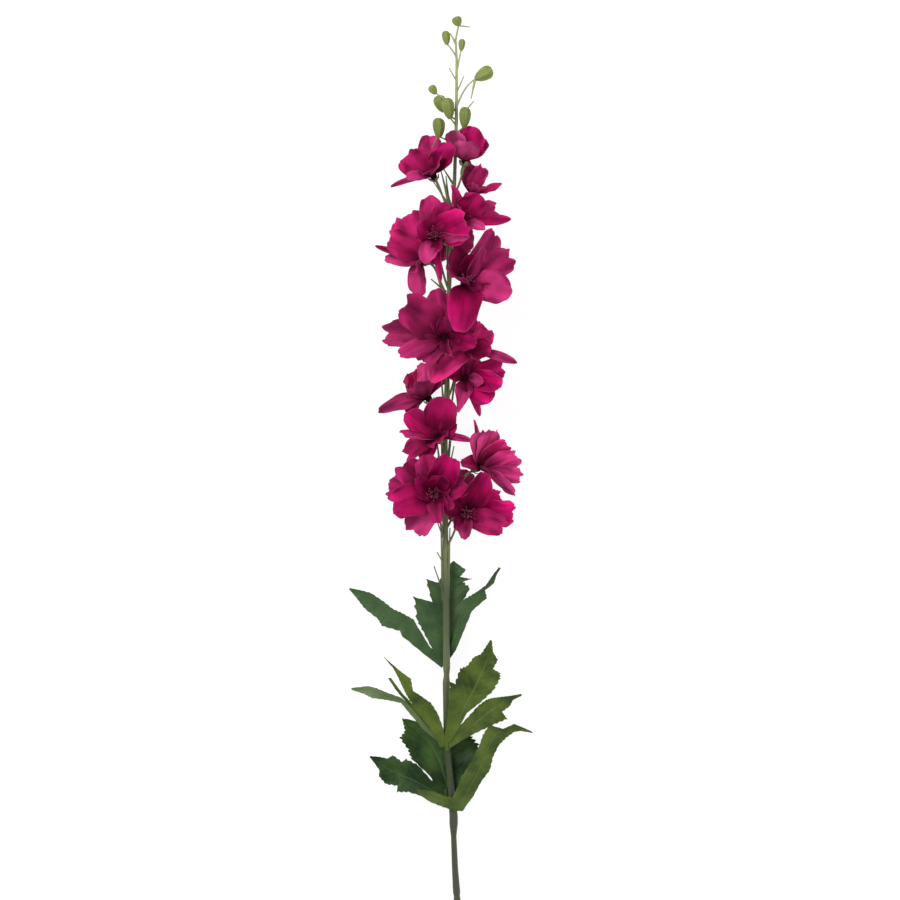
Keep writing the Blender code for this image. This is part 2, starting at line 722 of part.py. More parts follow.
# knuckle: rows of its two ends, its direction from the stem in degrees from +X, and its radius
# Each lobe: height over the surface at its root and its tip, extra height halfway, and its rows
# from root to tip, each with the pixels of its left edge, its rib and its right edge
LEAVES = (
    Leaf("leaf_upper", (0.045, 0.085, 0.03), (
        Lobe(12.8, 9.0, 2.0, (
            ((441, 655), (442, 661), (442, 668)),
            ((430, 647), (428, 651), (425, 655)),
            ((413, 619), (409, 628), (402, 636)),
            ((402, 613), (401, 622), (400, 631)),
            ((393, 609), (388, 617), (382, 626)),
            ((383, 601), (381, 610), (378, 619)),
            ((371, 593), (369, 601), (365, 609)),
            ((360, 590), (359, 595), (358, 600)),
            ((350, 588), (349, 589), (350, 590)),
        )),
        Lobe(12.8, 17.0, -1.0, (
            ((442, 667), (445, 666), (449, 661)),
            ((434, 652), (445, 655), (453, 650)),
            ((424, 633), (446, 642), (459, 633)),
            ((417, 620), (446, 630), (462, 617)),
            ((414, 597), (447, 617), (462, 603)),
            ((432, 602), (448, 606), (470, 588)),
            ((426, 579), (449, 594), (462, 581)),
            ((438, 583), (450, 584), (471, 579)),
            ((444, 573), (451, 577), (460, 577)),
            ((448, 566), (452, 571), (466, 570)),
            ((453, 561), (454, 561), (455, 562)),
        )),
        Lobe(12.8, 34.0, 2.0, (
            ((446, 664), (448, 662), (449, 660)),
            ((451, 645), (453, 648), (456, 650)),
            ((456, 628), (459, 632), (463, 633)),
            ((461, 601), (466, 610), (472, 611)),
            ((470, 596), (475, 602), (487, 598)),
            ((478, 591), (481, 593), (485, 590)),
            ((486, 585), (489, 587), (494, 583)),
            ((492, 576), (494, 577), (497, 574)),
            ((499, 567), (500, 568), (501, 568)),
        )),
    ), (669, 661, -90, 2.0)),
    Leaf("leaf_middle", (0.1, 0.155, 0.035), (
        Lobe(18.5, 33.0, 4.0, (
            ((443, 746), (445, 745), (448, 745)),
            ((446, 728), (451, 733), (456, 733)),
            ((449, 700), (460, 717), (467, 713)),
            ((450, 682), (468, 700), (481, 702)),
            ((455, 684), (473, 691), (493, 691)),
            ((460, 669), (477, 683), (500, 679)),
            ((467, 666), (480, 675), (500, 673)),
            ((474, 657), (484, 668), (493, 669)),
            ((481, 654), (487, 659), (498, 660)),
            ((487, 645), (490, 650), (493, 652)),
            ((490, 640), (491, 640), (492, 641)),
        )),
        Lobe(17.9, 21.0, 4.0, (
            ((443, 745), (445, 748), (446, 751)),
            ((455, 731), (459, 736), (464, 739)),
            ((467, 718), (472, 725), (480, 731)),
            ((478, 706), (484, 715), (495, 724)),
            ((486, 700), (492, 709), (507, 719)),
            ((492, 698), (497, 706), (502, 712)),
            ((500, 697), (503, 701), (510, 706)),
            ((509, 696), (511, 698), (513, 700)),
            ((521, 694), (522, 695), (521, 696)),
        )),
        Lobe(17.9, 9.0, 2.0, (
            ((445, 742), (445, 745), (445, 748)),
            ((427, 723), (426, 727), (424, 730)),
            ((413, 709), (412, 712), (410, 714)),
            ((402, 698), (402, 701), (401, 703)),
            ((388, 693), (388, 697), (387, 700)),
            ((376, 688), (374, 693), (372, 698)),
            ((368, 686), (366, 690), (364, 694)),
            ((352, 688), (351, 689), (352, 690)),
        )),
        Lobe(18.5, 27.0, 3.0, (
            ((440, 747), (444, 747), (446, 743)),
            ((429, 727), (435, 728), (443, 728)),
            ((419, 713), (428, 714), (438, 714)),
            ((410, 701), (421, 704), (431, 703)),
            ((406, 694), (415, 697), (421, 696)),
            ((402, 686), (409, 689), (413, 691)),
            ((398, 677), (404, 681), (411, 679)),
            ((393, 668), (396, 670), (399, 670)),
            ((384, 657), (385, 658), (386, 659)),
        )),
        Lobe(18.3, 17.0, 1.0, (
            ((441, 744), (443, 746), (445, 748)),
            ((422, 720), (424, 723), (427, 725)),
            ((407, 703), (411, 706), (416, 708)),
            ((396, 690), (399, 692), (402, 693)),
            ((388, 678), (389, 678), (391, 678)),
        )),
    ), (750, 741, 90, 1.9)),
    Leaf("leaf_lower", (0.06, 0.11, 0.03), (
        Lobe(7.2, -8.0, 0.0, (
            ((446, 792), (446, 796), (445, 800)),
            ((431, 780), (429, 788), (425, 797)),
            ((418, 765), (413, 780), (408, 792)),
            ((406, 759), (402, 775), (397, 792)),
            ((402, 762), (396, 772), (398, 786)),
            ((393, 755), (389, 769), (386, 784)),
            ((388, 758), (384, 765), (379, 776)),
            ((379, 756), (378, 761), (380, 770)),
            ((370, 755), (370, 756), (371, 757)),
        )),
        Lobe(4.6, 4.0, -1.0, (
            ((440, 794), (448, 795), (457, 793)),
            ((430, 776), (446, 783), (466, 781)),
            ((411, 758), (442, 770), (476, 762)),
            ((408, 749), (438, 758), (479, 746)),
            ((400, 738), (431, 746), (472, 737)),
            ((405, 731), (424, 738), (452, 733)),
            ((403, 722), (412, 729), (430, 726)),
            ((402, 718), (404, 719), (408, 719)),
        )),
        Lobe(15.2, 34.0, -2.0, (
            ((450, 803), (457, 806), (462, 811)),
            ((456, 790), (464, 797), (473, 797)),
            ((462, 776), (471, 785), (481, 782)),
            ((471, 762), (478, 772), (490, 770)),
            ((479, 746), (484, 757), (493, 757)),
            ((483, 735), (489, 746), (499, 745)),
            ((489, 725), (496, 733), (506, 738)),
            ((503, 729), (508, 731), (514, 732)),
            ((514, 724), (518, 727), (520, 731)),
            ((531, 731), (532, 732), (533, 733)),
        )),
        Lobe(5.4, 14.0, 4.4, (
            ((417, 789), (416, 791), (417, 793)),
            ((432, 791), (431, 796), (430, 802)),
            ((444, 796), (444, 801), (443, 807)),
            ((456, 798), (456, 805), (455, 811)),
            ((470, 797), (468, 803), (463, 811)),
        )),
    ), (799, 789, 212, 2.3)),
)


def lobe_blade(lobe):
    """A leaf lobe as a thin blade, folded up along its rib."""
    rows = []
    last = len(lobe.rows) - 1
    for index, (left, rib, right) in enumerate(lobe.rows):
        share = index / last
        height = lobe.low + (lobe.high - lobe.low) * share
        height += lobe.arch * 4.0 * share * (1.0 - share)
        middle = place(*rib, height)
        row = []
        for x, y in (left, rib, right):
            apart = (place(x, y, height) - middle).length
            row.append(place(x, y, height + LEAF_FOLD * apart))
        rows.append(row)
    return blade(rows, LEAF_THICK)


def make_leaf(leaf):
    """A leaf as one node: its lobes and the short knuckle that joins them beside the stem."""
    foot, head, turn, radius = leaf.knuckle
    out = Vector((math.cos(math.radians(turn)), 0.0, math.sin(math.radians(turn))))
    points = []
    for row in (foot, head):
        middle, beside = stem_at(row)
        points.append(middle + out * (beside + radius + GAP))
    knuckle = tube(points, [radius, radius], 7)
    node = fuse(leaf.name, [knuckle] + [lobe_blade(lobe) for lobe in leaf.lobes])
    finish(node, leaf.colour, 0.6)
    return node


def tree_of_node(node):
    """A search tree of a node's faces, in millimetres."""
    points = [vertex.co / METRE for vertex in node.data.vertices]
    return BVHTree.FromPolygons(points, [tuple(face.vertices) for face in node.data.polygons])


def main():
    for piece in list(bpy.data.objects):
        bpy.data.objects.remove(piece)
    neighbours = [tree_of_node(make_stem())]
    neighbours += [tree_of_node(make_leaf(leaf)) for leaf in LEAVES]
    for bloom in sorted(BLOOMS, key=lambda b: -b.lift):
        make_bloom(bloom, neighbours)


main()
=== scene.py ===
"""Looks of a cut delphinium flower spike that lies on a pale floor: silk-like magenta petals with
their stamens, ribbed buds, a jointed stem and veined leaves. Lengths are in millimetres in this
script and become metres when a mesh is made. +Y runs along the spike towards its tip."""

import math
import random
from collections import namedtuple

import bpy
import numpy as np
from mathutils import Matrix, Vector
from mathutils.bvhtree import BVHTree


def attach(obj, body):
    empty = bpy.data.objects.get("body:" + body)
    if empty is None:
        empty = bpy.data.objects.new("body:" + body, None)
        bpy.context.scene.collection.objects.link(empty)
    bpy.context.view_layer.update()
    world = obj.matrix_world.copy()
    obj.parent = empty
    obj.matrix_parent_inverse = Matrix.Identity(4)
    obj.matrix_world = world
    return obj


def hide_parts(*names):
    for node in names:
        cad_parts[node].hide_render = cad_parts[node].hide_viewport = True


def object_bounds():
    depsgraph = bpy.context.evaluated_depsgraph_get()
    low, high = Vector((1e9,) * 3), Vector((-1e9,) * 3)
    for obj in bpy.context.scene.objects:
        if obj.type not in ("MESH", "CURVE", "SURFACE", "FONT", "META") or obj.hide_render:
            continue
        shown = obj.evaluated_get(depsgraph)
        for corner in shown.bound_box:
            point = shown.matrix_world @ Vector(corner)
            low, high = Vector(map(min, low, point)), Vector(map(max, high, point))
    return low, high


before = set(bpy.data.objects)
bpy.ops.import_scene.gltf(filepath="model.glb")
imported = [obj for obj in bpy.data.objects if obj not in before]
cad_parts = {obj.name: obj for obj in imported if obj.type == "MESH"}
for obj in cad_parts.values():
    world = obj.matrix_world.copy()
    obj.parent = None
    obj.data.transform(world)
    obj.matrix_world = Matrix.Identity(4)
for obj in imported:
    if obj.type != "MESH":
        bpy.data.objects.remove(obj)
cad_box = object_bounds()

# Driving dimensions
SPIKE_LENGTH = 800.0
LEAN = 0.068  # rise of the stem for each millimetre along it
PETAL_THICK = 0.35
LEAF_THICK = 0.5
GAP = 0.3
END_RADIUS = 3.1
METRE = 0.001

# The view that places across the spike are given in: a square frame of 900 pixels, seen from above
TIP_ROW = 17.0
CUT_ROW = 912.0
FRAME_PIXELS = 900
FRAME_MIDDLE = FRAME_PIXELS / 2
PIXEL = SPIKE_LENGTH / (CUT_ROW - TIP_ROW)
VIEW_DISTANCE = 2400.0
VIEW_PLANE = 35.0  # the height at which a pixel is PIXEL wide
ORIGIN = Vector((-8.5, -17.6, 0.0))  # middle of the spike's box, measured from the frame's middle


def place(x, y, height):
    """The point at this height that the view from above shows at pixel x, y."""
    shrink = 1.0 - (height - VIEW_PLANE) / VIEW_DISTANCE
    across = (x - FRAME_MIDDLE) * PIXEL * shrink
    along = (FRAME_MIDDLE - y) * PIXEL * shrink
    return Vector((across, along, height)) - ORIGIN


def pixel_of(point):
    """Where the view from above shows a point."""
    across, along, height = point + ORIGIN
    shrink = 1.0 - (height - VIEW_PLANE) / VIEW_DISTANCE
    return FRAME_MIDDLE + across / (PIXEL * shrink), FRAME_MIDDLE - along / (PIXEL * shrink)


def stem_height(y):
    """Height of the stem's middle line where the view shows row y."""
    return END_RADIUS + (CUT_ROW - y) * PIXEL * LEAN


# Materials


def colour(red, green, blue):
    """A colour from its values in a picture, 0 to 255."""
    values = []
    for value in (red, green, blue):
        value /= 255.0
        values.append(value / 12.92 if value <= 0.04045 else ((value + 0.055) / 1.055) ** 2.4)
    return (*values, 1.0)


BLACK = (0.0, 0.0, 0.0, 1.0)
WHITE = (1.0, 1.0, 1.0, 1.0)
GREY = (0.6, 0.6, 0.6, 1.0)
SHADOW = (0.5, 0.42, 0.46, 1.0)
UV_NAME = "Grain"
# Name of the per-point painted light and paleness of the petals
PAINTED_LIGHT_AND_PALE_NAME = "tone"


class Look:
    """A material under construction."""

    def __init__(self, name, roughness, sheen=0.0, specular=0.5):
        self.material = bpy.data.materials.new(name)
        self.material.use_nodes = True
        self.tree = self.material.node_tree
        self.shader = self.tree.nodes["Principled BSDF"]
        values = {"Roughness": roughness, "Metallic": 0.0, "Sheen Weight": sheen, "Sheen Roughness": 0.4,
                  "Specular IOR Level": specular}
        for key, value in values.items():
            self.feed(self.shader, key, value)

    def feed(self, node, key, value):
        """Sets one input of a node, or links an output to it."""
        if isinstance(value, bpy.types.NodeSocket):
            self.tree.links.new(value, node.inputs[key])
        else:
            node.inputs[key].default_value = value

    def node(self, kind, **values):
        """A node with its inputs set, by name, to values or to other nodes' outputs."""
        node = self.tree.nodes.new(kind)
        for key, value in values.items():
            self.feed(node, key, value)
        return node

    def maths(self, operation, *values):
        """The output of one sum."""
        node = self.node("ShaderNodeMath")
        node.operation = operation
        for index, value in enumerate(values):
            self.feed(node, index, value)
        return node.outputs[0]

    def times(self, first, second):
        """Two values multiplied."""
        return self.maths("MULTIPLY", first, second)

    def plus(self, first, second):
        """Two values added."""
        return self.maths("ADD", first, second)

    def minus(self, first, second):
        """The first value less the second."""
        return self.maths("SUBTRACT", first, second)

    def off_middle(self, value):
        """How far the value's fraction is from one half."""
        return self.maths("ABSOLUTE", self.minus(self.maths("FRACT", value), 0.5))

    def ramp(self, fac, stops):
        """A colour from a value between 0 and 1."""
        node = self.node("ShaderNodeValToRGB", Fac=fac)
        elements = node.color_ramp.elements
        while len(elements) < len(stops):
            elements.new(0.5)
        for element, (position, value) in zip(elements, stops):
            element.position = position
            element.color = value
        return node.outputs["Color"]

    def rise(self, value, low, high):
        """Goes from 0 to 1 as the value goes from low to high."""
        return self.ramp(value, ((low, BLACK), (high, WHITE)))

    def line(self, value, width):
        """Is 1 where the value is 0, and falls to 0 over a width."""
        return self.ramp(value, ((0.0, WHITE), (width, BLACK)))

    def mix(self, fac, first, second, blend="MIX"):
        """Two colours blended."""
        node = self.node("ShaderNodeMix")
        node.data_type = "RGBA"
        node.blend_type = blend
        for index, value in ((0, fac), (6, first), (7, second)):
            self.feed(node, index, value)
        return node.outputs[2]

    def dim(self, base, light):
        """A colour multiplied by a value."""
        return self.mix(1.0, base, self.vector(light, light, light), "MULTIPLY")

    def uv(self):
        """The two UV values of the surface."""
        source = self.node("ShaderNodeUVMap")
        source.uv_map = UV_NAME
        parts = self.node("ShaderNodeSeparateXYZ", Vector=source.outputs["UV"])
        return parts.outputs["X"], parts.outputs["Y"]

    def vector(self, x, y, z=0.0):
        """Three values as one vector."""
        return self.node("ShaderNodeCombineXYZ", X=x, Y=y, Z=z).outputs[0]

    def place(self):
        """Where the surface is, in metres."""
        return self.node("ShaderNodeTexCoord").outputs["Object"]

    def noise(self, vector, scale, detail=2.0):
        """Smooth noise between 0 and 1."""
        return self.node("ShaderNodeTexNoise", Vector=vector, Scale=scale, Detail=detail).outputs["Fac"]

    def bump(self, height, strength, distance):
        """Relief from a height."""
        bump = self.node("ShaderNodeBump", Height=height, Strength=strength, Distance=distance)
        self.feed(self.shader, "Normal", bump.outputs["Normal"])

    def paint(self, value):
        """The colour of the surface."""
        self.feed(self.shader, "Base Color", value)


def petal_look(name, *colours):
    """Silk-like petal: darker at its claw, partly its own deeper colour and partly painted shade; fine veins
    along it; blotches of painted shade; patches of painted shade and painted highlight; and its own painted
    light and paleness.
    """
    heart, middle, edge, vein, pale = (colour(*value) for value in colours)
    look = Look(name, roughness=0.7, sheen=0.02, specular=0.06)
    look.feed(look.shader, "Sheen Tint", colour(255, 90, 160))
    u, v = look.uv()
    tone = look.node("ShaderNodeAttribute")
    tone.attribute_name = PAINTED_LIGHT_AND_PALE_NAME
    parts = look.node("ShaderNodeSeparateColor", Color=tone.outputs["Color"])
    painted_light, paleness = parts.outputs[0], parts.outputs[1]
    # Darker towards the claw: partly the petal's own deeper colour, partly painted shade in the bloom's
    # cupped heart
    base = look.ramp(v, ((0.1, heart), (0.5, middle), (0.95, edge)))
    base = look.mix(look.times(look.rise(v, 0.15, 0.6), paleness), base, pale)
    streaks = look.noise(look.vector(look.times(u, 30.0), look.times(v, 1.8)), scale=1.0, detail=3.0)
    lines = look.rise(streaks, 0.52, 0.68)
    base = look.mix(look.times(lines, 0.3), base, look.mix(0.5, vein, base))
    # Blotches of painted shade: up to 0.6 of the way to the colour times SHADOW, where the noise is high
    shade_clouds = look.ramp(look.noise(look.place(), scale=75.0), ((0.42, BLACK), (0.75, GREY)))
    base = look.mix(shade_clouds, base, look.mix(1.0, base, SHADOW, "MULTIPLY"))
    # Broad patches of painted shade and painted highlight across each petal, for the light on its folds: the
    # colour times 0.6 to 1.32
    folds = look.noise(look.vector(look.times(u, 2.3), look.times(v, 1.7)), scale=1.0, detail=1.0)
    base = look.dim(base, look.plus(look.times(look.rise(folds, 0.36, 0.62), 0.72), 0.6))
    side_rim = look.times(look.rise(look.off_middle(u), 0.45, 0.478), look.rise(v, 0.35, 0.7))
    rim = look.maths("MAXIMUM", look.rise(v, 0.955, 0.985), side_rim)
    base = look.mix(look.times(rim, 0.55), base, pale)
    # Each petal's painted light: the colour times its own value, painted shade below 1 and painted highlight
    # above 1
    look.paint(look.dim(base, painted_light))
    weave = look.noise(look.place(), scale=2600.0, detail=1.0)
    look.bump(look.plus(look.times(streaks, 0.8), look.times(weave, 0.2)), strength=0.6, distance=0.0009)
    return look.material


def leaf_look(name, *colours):
    """Leaf: side veins that leave the rib at a slant, lighter veins, blotches of deep and light green that
    are partly mottling and partly painted shade, and a fine grain.
    """
    deep_and_shaded, light, vein = (colour(*value) for value in colours)
    look = Look(name, roughness=0.55, sheen=0.02, specular=0.25)
    u, v = look.uv()
    beside = look.off_middle(u)
    slant = look.minus(look.times(v, 9.0), look.times(beside, 5.0))
    wobble = look.times(look.noise(look.place(), scale=60.0), 0.7)
    side_vein = look.line(look.off_middle(look.plus(slant, wobble)), 0.085)
    veins = look.maths("MAXIMUM", look.times(side_vein, 0.6), look.line(beside, 0.035))
    # Blotches: partly the leaf's own mottling, partly painted shade of its folds
    blotches_and_shade = look.noise(look.place(), scale=45.0, detail=3.0)
    base = look.mix(look.rise(blotches_and_shade, 0.35, 0.68), deep_and_shaded, light)
    look.paint(look.mix(look.times(veins, 0.6), base, vein))
    grain = look.noise(look.place(), scale=900.0)
    look.bump(look.plus(look.times(grain, 0.25), look.times(veins, -1.0)), strength=0.6, distance=0.0006)
    return look.material


def stem_look(name, stops, streak):
    """Stem: its colour changes along it, with fine fibres and small marks."""
    look = Look(name, roughness=0.5)
    where = look.node("ShaderNodeSeparateXYZ", Vector=look.place())
    low, high = cad_box[0][1], cad_box[1][1]
    along = look.maths("DIVIDE", look.minus(where.outputs["Y"], low), high - low)
    base = look.ramp(along, [(share, colour(*value)) for share, value in stops])
    grain = look.vector(look.times(where.outputs["X"], 1600.0), look.times(where.outputs["Y"], 60.0))
    fibre = look.noise(grain, scale=1.0)
    look.paint(look.mix(look.times(fibre, 0.5), base, colour(*streak)))
    look.bump(fibre, strength=0.4, distance=0.0005)
    return look.material


def speckled_look(name, roughness, specular, scale, first, second):
    """Two colours in small specks."""
    look = Look(name, roughness, specular=specular)
    look.paint(look.mix(look.noise(look.place(), scale), first, second))
    return look


# The first colour of each petal look, at its claw, is partly painted shade of the cupped heart
PETAL_FACE = petal_look("petal_face", (54, 0, 22), (158, 2, 74), (206, 22, 110), (104, 0, 50), (186, 56, 116))
PETAL_BACK = petal_look("petal_back", (112, 28, 62), (166, 32, 94), (196, 54, 118), (132, 34, 86),
                        (192, 76, 130))
HEART = speckled_look("heart", 0.9, 0.05, 500.0, colour(18, 4, 10), colour(56, 6, 24)).material
STAMEN = speckled_look("stamen", 0.8, 0.1, 700.0, colour(84, 16, 40), colour(176, 84, 118)).material
CALYX = stem_look("calyx", ((0.0, (104, 112, 62)), (1.0, (120, 132, 74))), (96, 58, 60))
BUD = stem_look("bud", (
    (0.0, (110, 124, 62)),
    (0.88, (122, 136, 58)),
    (0.93, (146, 160, 78)),
    (0.96, (148, 162, 80)),
    (1.0, (140, 150, 72)),
), (70, 86, 34))
STEM = stem_look("stem", (
    (0.0, (74, 74, 54)),
    (0.13, (66, 68, 54)),
    (0.15, (56, 66, 36)),
    (0.19, (46, 60, 28)),
    (0.22, (70, 82, 48)),
    (0.28, (106, 118, 78)),
    (0.36, (72, 86, 54)),
    (0.41, (132, 140, 92)),
    (0.5, (104, 118, 70)),
    (0.6, (128, 142, 88)),
    (0.86, (122, 126, 78)),
    (0.9, (172, 182, 128)),
    (1.0, (190, 198, 146)),
), (66, 70, 46))
# A leaf's face and its back: the colours of its deep parts, which are partly painted shade, its light parts
# and its veins
LEAF_COLOURS = {
    "leaf_upper": (
        ((48, 74, 42), (74, 102, 60), (92, 116, 76)),
        ((74, 96, 64), (96, 114, 78), (112, 128, 90)),
    ),
    "leaf_middle": (
        ((46, 66, 20), (94, 114, 40), (108, 124, 60)),
        ((84, 104, 60), (118, 134, 96), (136, 150, 112)),
    ),
    # The lower leaf's colours are darker throughout: painted shade for its lobes that lie low behind the stem
    "leaf_lower": (
        ((20, 46, 14), (62, 92, 38), (76, 104, 50)),
        ((54, 76, 28), (96, 114, 46), (108, 124, 60)),
    ),
}
LEAF_LOOKS = {}
for leaf_name, (face, back) in LEAF_COLOURS.items():
    LEAF_LOOKS[leaf_name] = (leaf_look(leaf_name + "_face", *face), leaf_look(leaf_name + "_back", *back))


# Meshes


SEAM = 0.02  # share of a blade's UV width that stays free at each of its sides
SHORT = 0.05  # a cross product shorter than this gives no direction
SHARP_ANGLE = 60.0


def across_from(direction):
    """Two unit vectors across a direction, alike for alike directions."""
    side = direction.cross(Vector((0.0, 0.0, 1.0)))
    if side.length < SHORT:
        side = direction.cross(Vector((0.0, 1.0, 0.0)))
    side.normalize()
    return side, side.cross(direction).normalized()


def around(side, over, turn):
    """The direction at an angle between two directions square to each other."""
    return side * math.cos(turn) + over * math.sin(turn)


def grid_shares(columns, rows):
    """Evenly spaced shares across a blade, from -1 to 1, and along it, from 0 to 1."""
    return np.linspace(-1.0, 1.0, columns), np.linspace(0.0, 1.0, rows)


def link(name, data):
    """A new object with this data, in the scene."""
    thing = bpy.data.objects.new(name, data)
    bpy.context.scene.collection.objects.link(thing)
    return thing


class Shape:
    """One mesh under construction, in millimetres."""

    def __init__(self):
        self.points = []
        self.faces = []
        self.grain = []
        self.slots = []
        self.painted_lights_and_pales = []

    def add(self, points, faces, grain, slots, tone=(1.0, 0.0)):
        """Adds points, faces, a UV pair for each corner of each face and a material for each face."""
        start = len(self.points)
        self.painted_lights_and_pales += [tone] * len(points)
        self.points += [tuple(point) for point in points]
        self.faces += [tuple(start + k for k in face) for face in faces]
        self.grain += grain
        self.slots += slots

    def blade(self, points, us, vs, thick, number=0, face=0, back=1, tone=(1.0, 0.0)):
        """A closed thin blade round a grid of points. The face is the side that sees the columns run
        to the right where the rows run up."""
        rows, columns = points.shape[:2]
        over = np.gradient(points, axis=1)
        down = np.gradient(points, axis=0)
        ups = np.cross(over, down)
        ups /= np.maximum(np.linalg.norm(ups, axis=2, keepdims=True), 1e-9)
        low = points.copy()
        low[..., 2] = np.maximum(low[..., 2], thick)
        skins = [low + ups * (thick / 2), low - ups * (thick / 2)]
        vertices = np.concatenate([skin.reshape(-1, 3) for skin in skins])
        count = rows * columns
        faces, grain, slots = [], [], []

        def pair(k):
            k %= count
            return number + SEAM + (1.0 - 2 * SEAM) * (us[k % columns] + 1) / 2, vs[k // columns]

        def quad(corners, slot):
            faces.append(corners)
            grain.extend(pair(k) for k in corners)
            slots.append(slot)

        for i in range(rows - 1):
            for j in range(columns - 1):
                a = i * columns + j
                b, c, d = a + 1, a + columns + 1, a + columns
                quad((a, b, c, d), face)
                quad((count + d, count + c, count + b, count + a), back)
        rim = list(range(columns))
        rim += [(i + 1) * columns - 1 for i in range(1, rows)]
        rim += [rows * columns - 1 - j for j in range(1, columns)]
        rim += [i * columns for i in range(rows - 2, 0, -1)]
        for one, two in zip(rim, rim[1:] + rim[:1]):
            quad((two, one, count + one, count + two), face)
        self.add(vertices, faces, grain, slots, tone)

    def tube(self, points, radii, sides, slot=0, ribs=0, rib_depth=0.0):
        """A closed round rod along points, with a radius at each and, if given, ribs along it."""
        points = [Vector(point) for point in points]
        along = (points[1] - points[0]).normalized()
        side = along.cross(Vector((0.0, 0.0, 1.0)))
        if side.length < SHORT:
            side = along.cross(Vector((0.0, 1.0, 0.0)))
        vertices, faces, grain, slots = [], [], [], []
        for index, point in enumerate(points):
            before = points[max(index - 1, 0)]
            after = points[min(index + 1, len(points) - 1)]
            along = (after - before).normalized()
            side = (side - along * side.dot(along)).normalized()
            over = along.cross(side)
            for step in range(sides):
                turn = math.tau * step / sides
                radius = radii[index] * (1.0 + rib_depth * math.cos(ribs * turn))
                vertices.append(point + around(side, over, turn) * radius)
        last = len(points) - 1
        for row in range(last):
            for step in range(sides):
                a = row * sides + step
                b = row * sides + (step + 1) % sides
                faces.append((a, b, b + sides, a + sides))
                left, right = step / sides, (step + 1) / sides
                low, high = row / last, (row + 1) / last
                grain += [(left, low), (right, low), (right, high), (left, high)]
                slots.append(slot)
        for ring, v in ((range(sides - 1, -1, -1), 0.0), (range(last * sides, (last + 1) * sides), 1.0)):
            faces.append(tuple(ring))
            grain += [(0.5, v)] * sides
            slots.append(slot)
        self.add(vertices, faces, grain, slots)

    def make(self, name, materials):
        """The finished object, riding on the spike's one body."""
        mesh = bpy.data.meshes.new(name)
        mesh.from_pydata([(x * METRE, y * METRE, z * METRE) for x, y, z in self.points], [], self.faces)
        layer = mesh.uv_layers.new(name=UV_NAME)
        layer.data.foreach_set("uv", np.array(self.grain, dtype=np.float32).ravel())
        for material in materials:
            mesh.materials.append(material)
        mesh.polygons.foreach_set("material_index", self.slots)
        painted_lights_and_pales = mesh.color_attributes.new(PAINTED_LIGHT_AND_PALE_NAME, "FLOAT_COLOR", "POINT")
        colours = [(painted_light, pale, 0.0, 1.0) for painted_light, pale in self.painted_lights_and_pales]
        painted_lights_and_pales.data.foreach_set("color", np.array(colours, dtype=np.float32).ravel())
        mesh.update()
        mesh.shade_smooth()
        mesh.set_sharp_from_angle(angle=math.radians(SHARP_ANGLE))
        piece = link(name, mesh)
        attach(piece, "root")
        return piece


def bezier(a, b, c, d, t):
    """Points on a cubic curve."""
    s = 1.0 - t
    return a * s**3 + b * 3 * s * s * t + c * 3 * s * t * t + d * t**3


def node_tree(name):
    """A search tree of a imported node's faces, in millimetres."""
    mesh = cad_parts[name].data
    points = [vertex.co / METRE for vertex in mesh.vertices]
    return BVHTree.FromPolygons(points, [tuple(face.vertices) for face in mesh.polygons])


# Blooms

Petal = namedtuple("Petal", "tip rise width shape roll show", defaults=("fan", 0.0, 0.6))
Bloom = namedtuple("Bloom", "name seat lift axis root size petals open", defaults=(75.0,))

END_FALL = {"fan": 0.24, "round": 0.3, "point": 0.46, "strip": 0.0, "plain": 0.24}
END_DIP = {"fan": 0.09, "round": 0.0, "point": 0.0, "strip": 0.0, "plain": 0.0}
END_REACH = {"fan": 1.06, "round": 1.02, "point": 1.0, "strip": 1.0, "plain": 1.0}
CORE_RINGS = ((0.0, 2.0), (1.4, 3.0), (4.2, 3.4), (6.4, 2.0))  # along the axis, radius
CLAW_AT = 1.9
CLAW_HALF = 1.1
CLAW_STEP = 0.33
MOST_BENDS = 7
BEND_STEPS = sorted(range(-MOST_BENDS, MOST_BENDS + 1), key=lambda step: (abs(step), -step))
BEND_STEP = 3.0
SHORTER = (1.0, 0.86, 0.72)

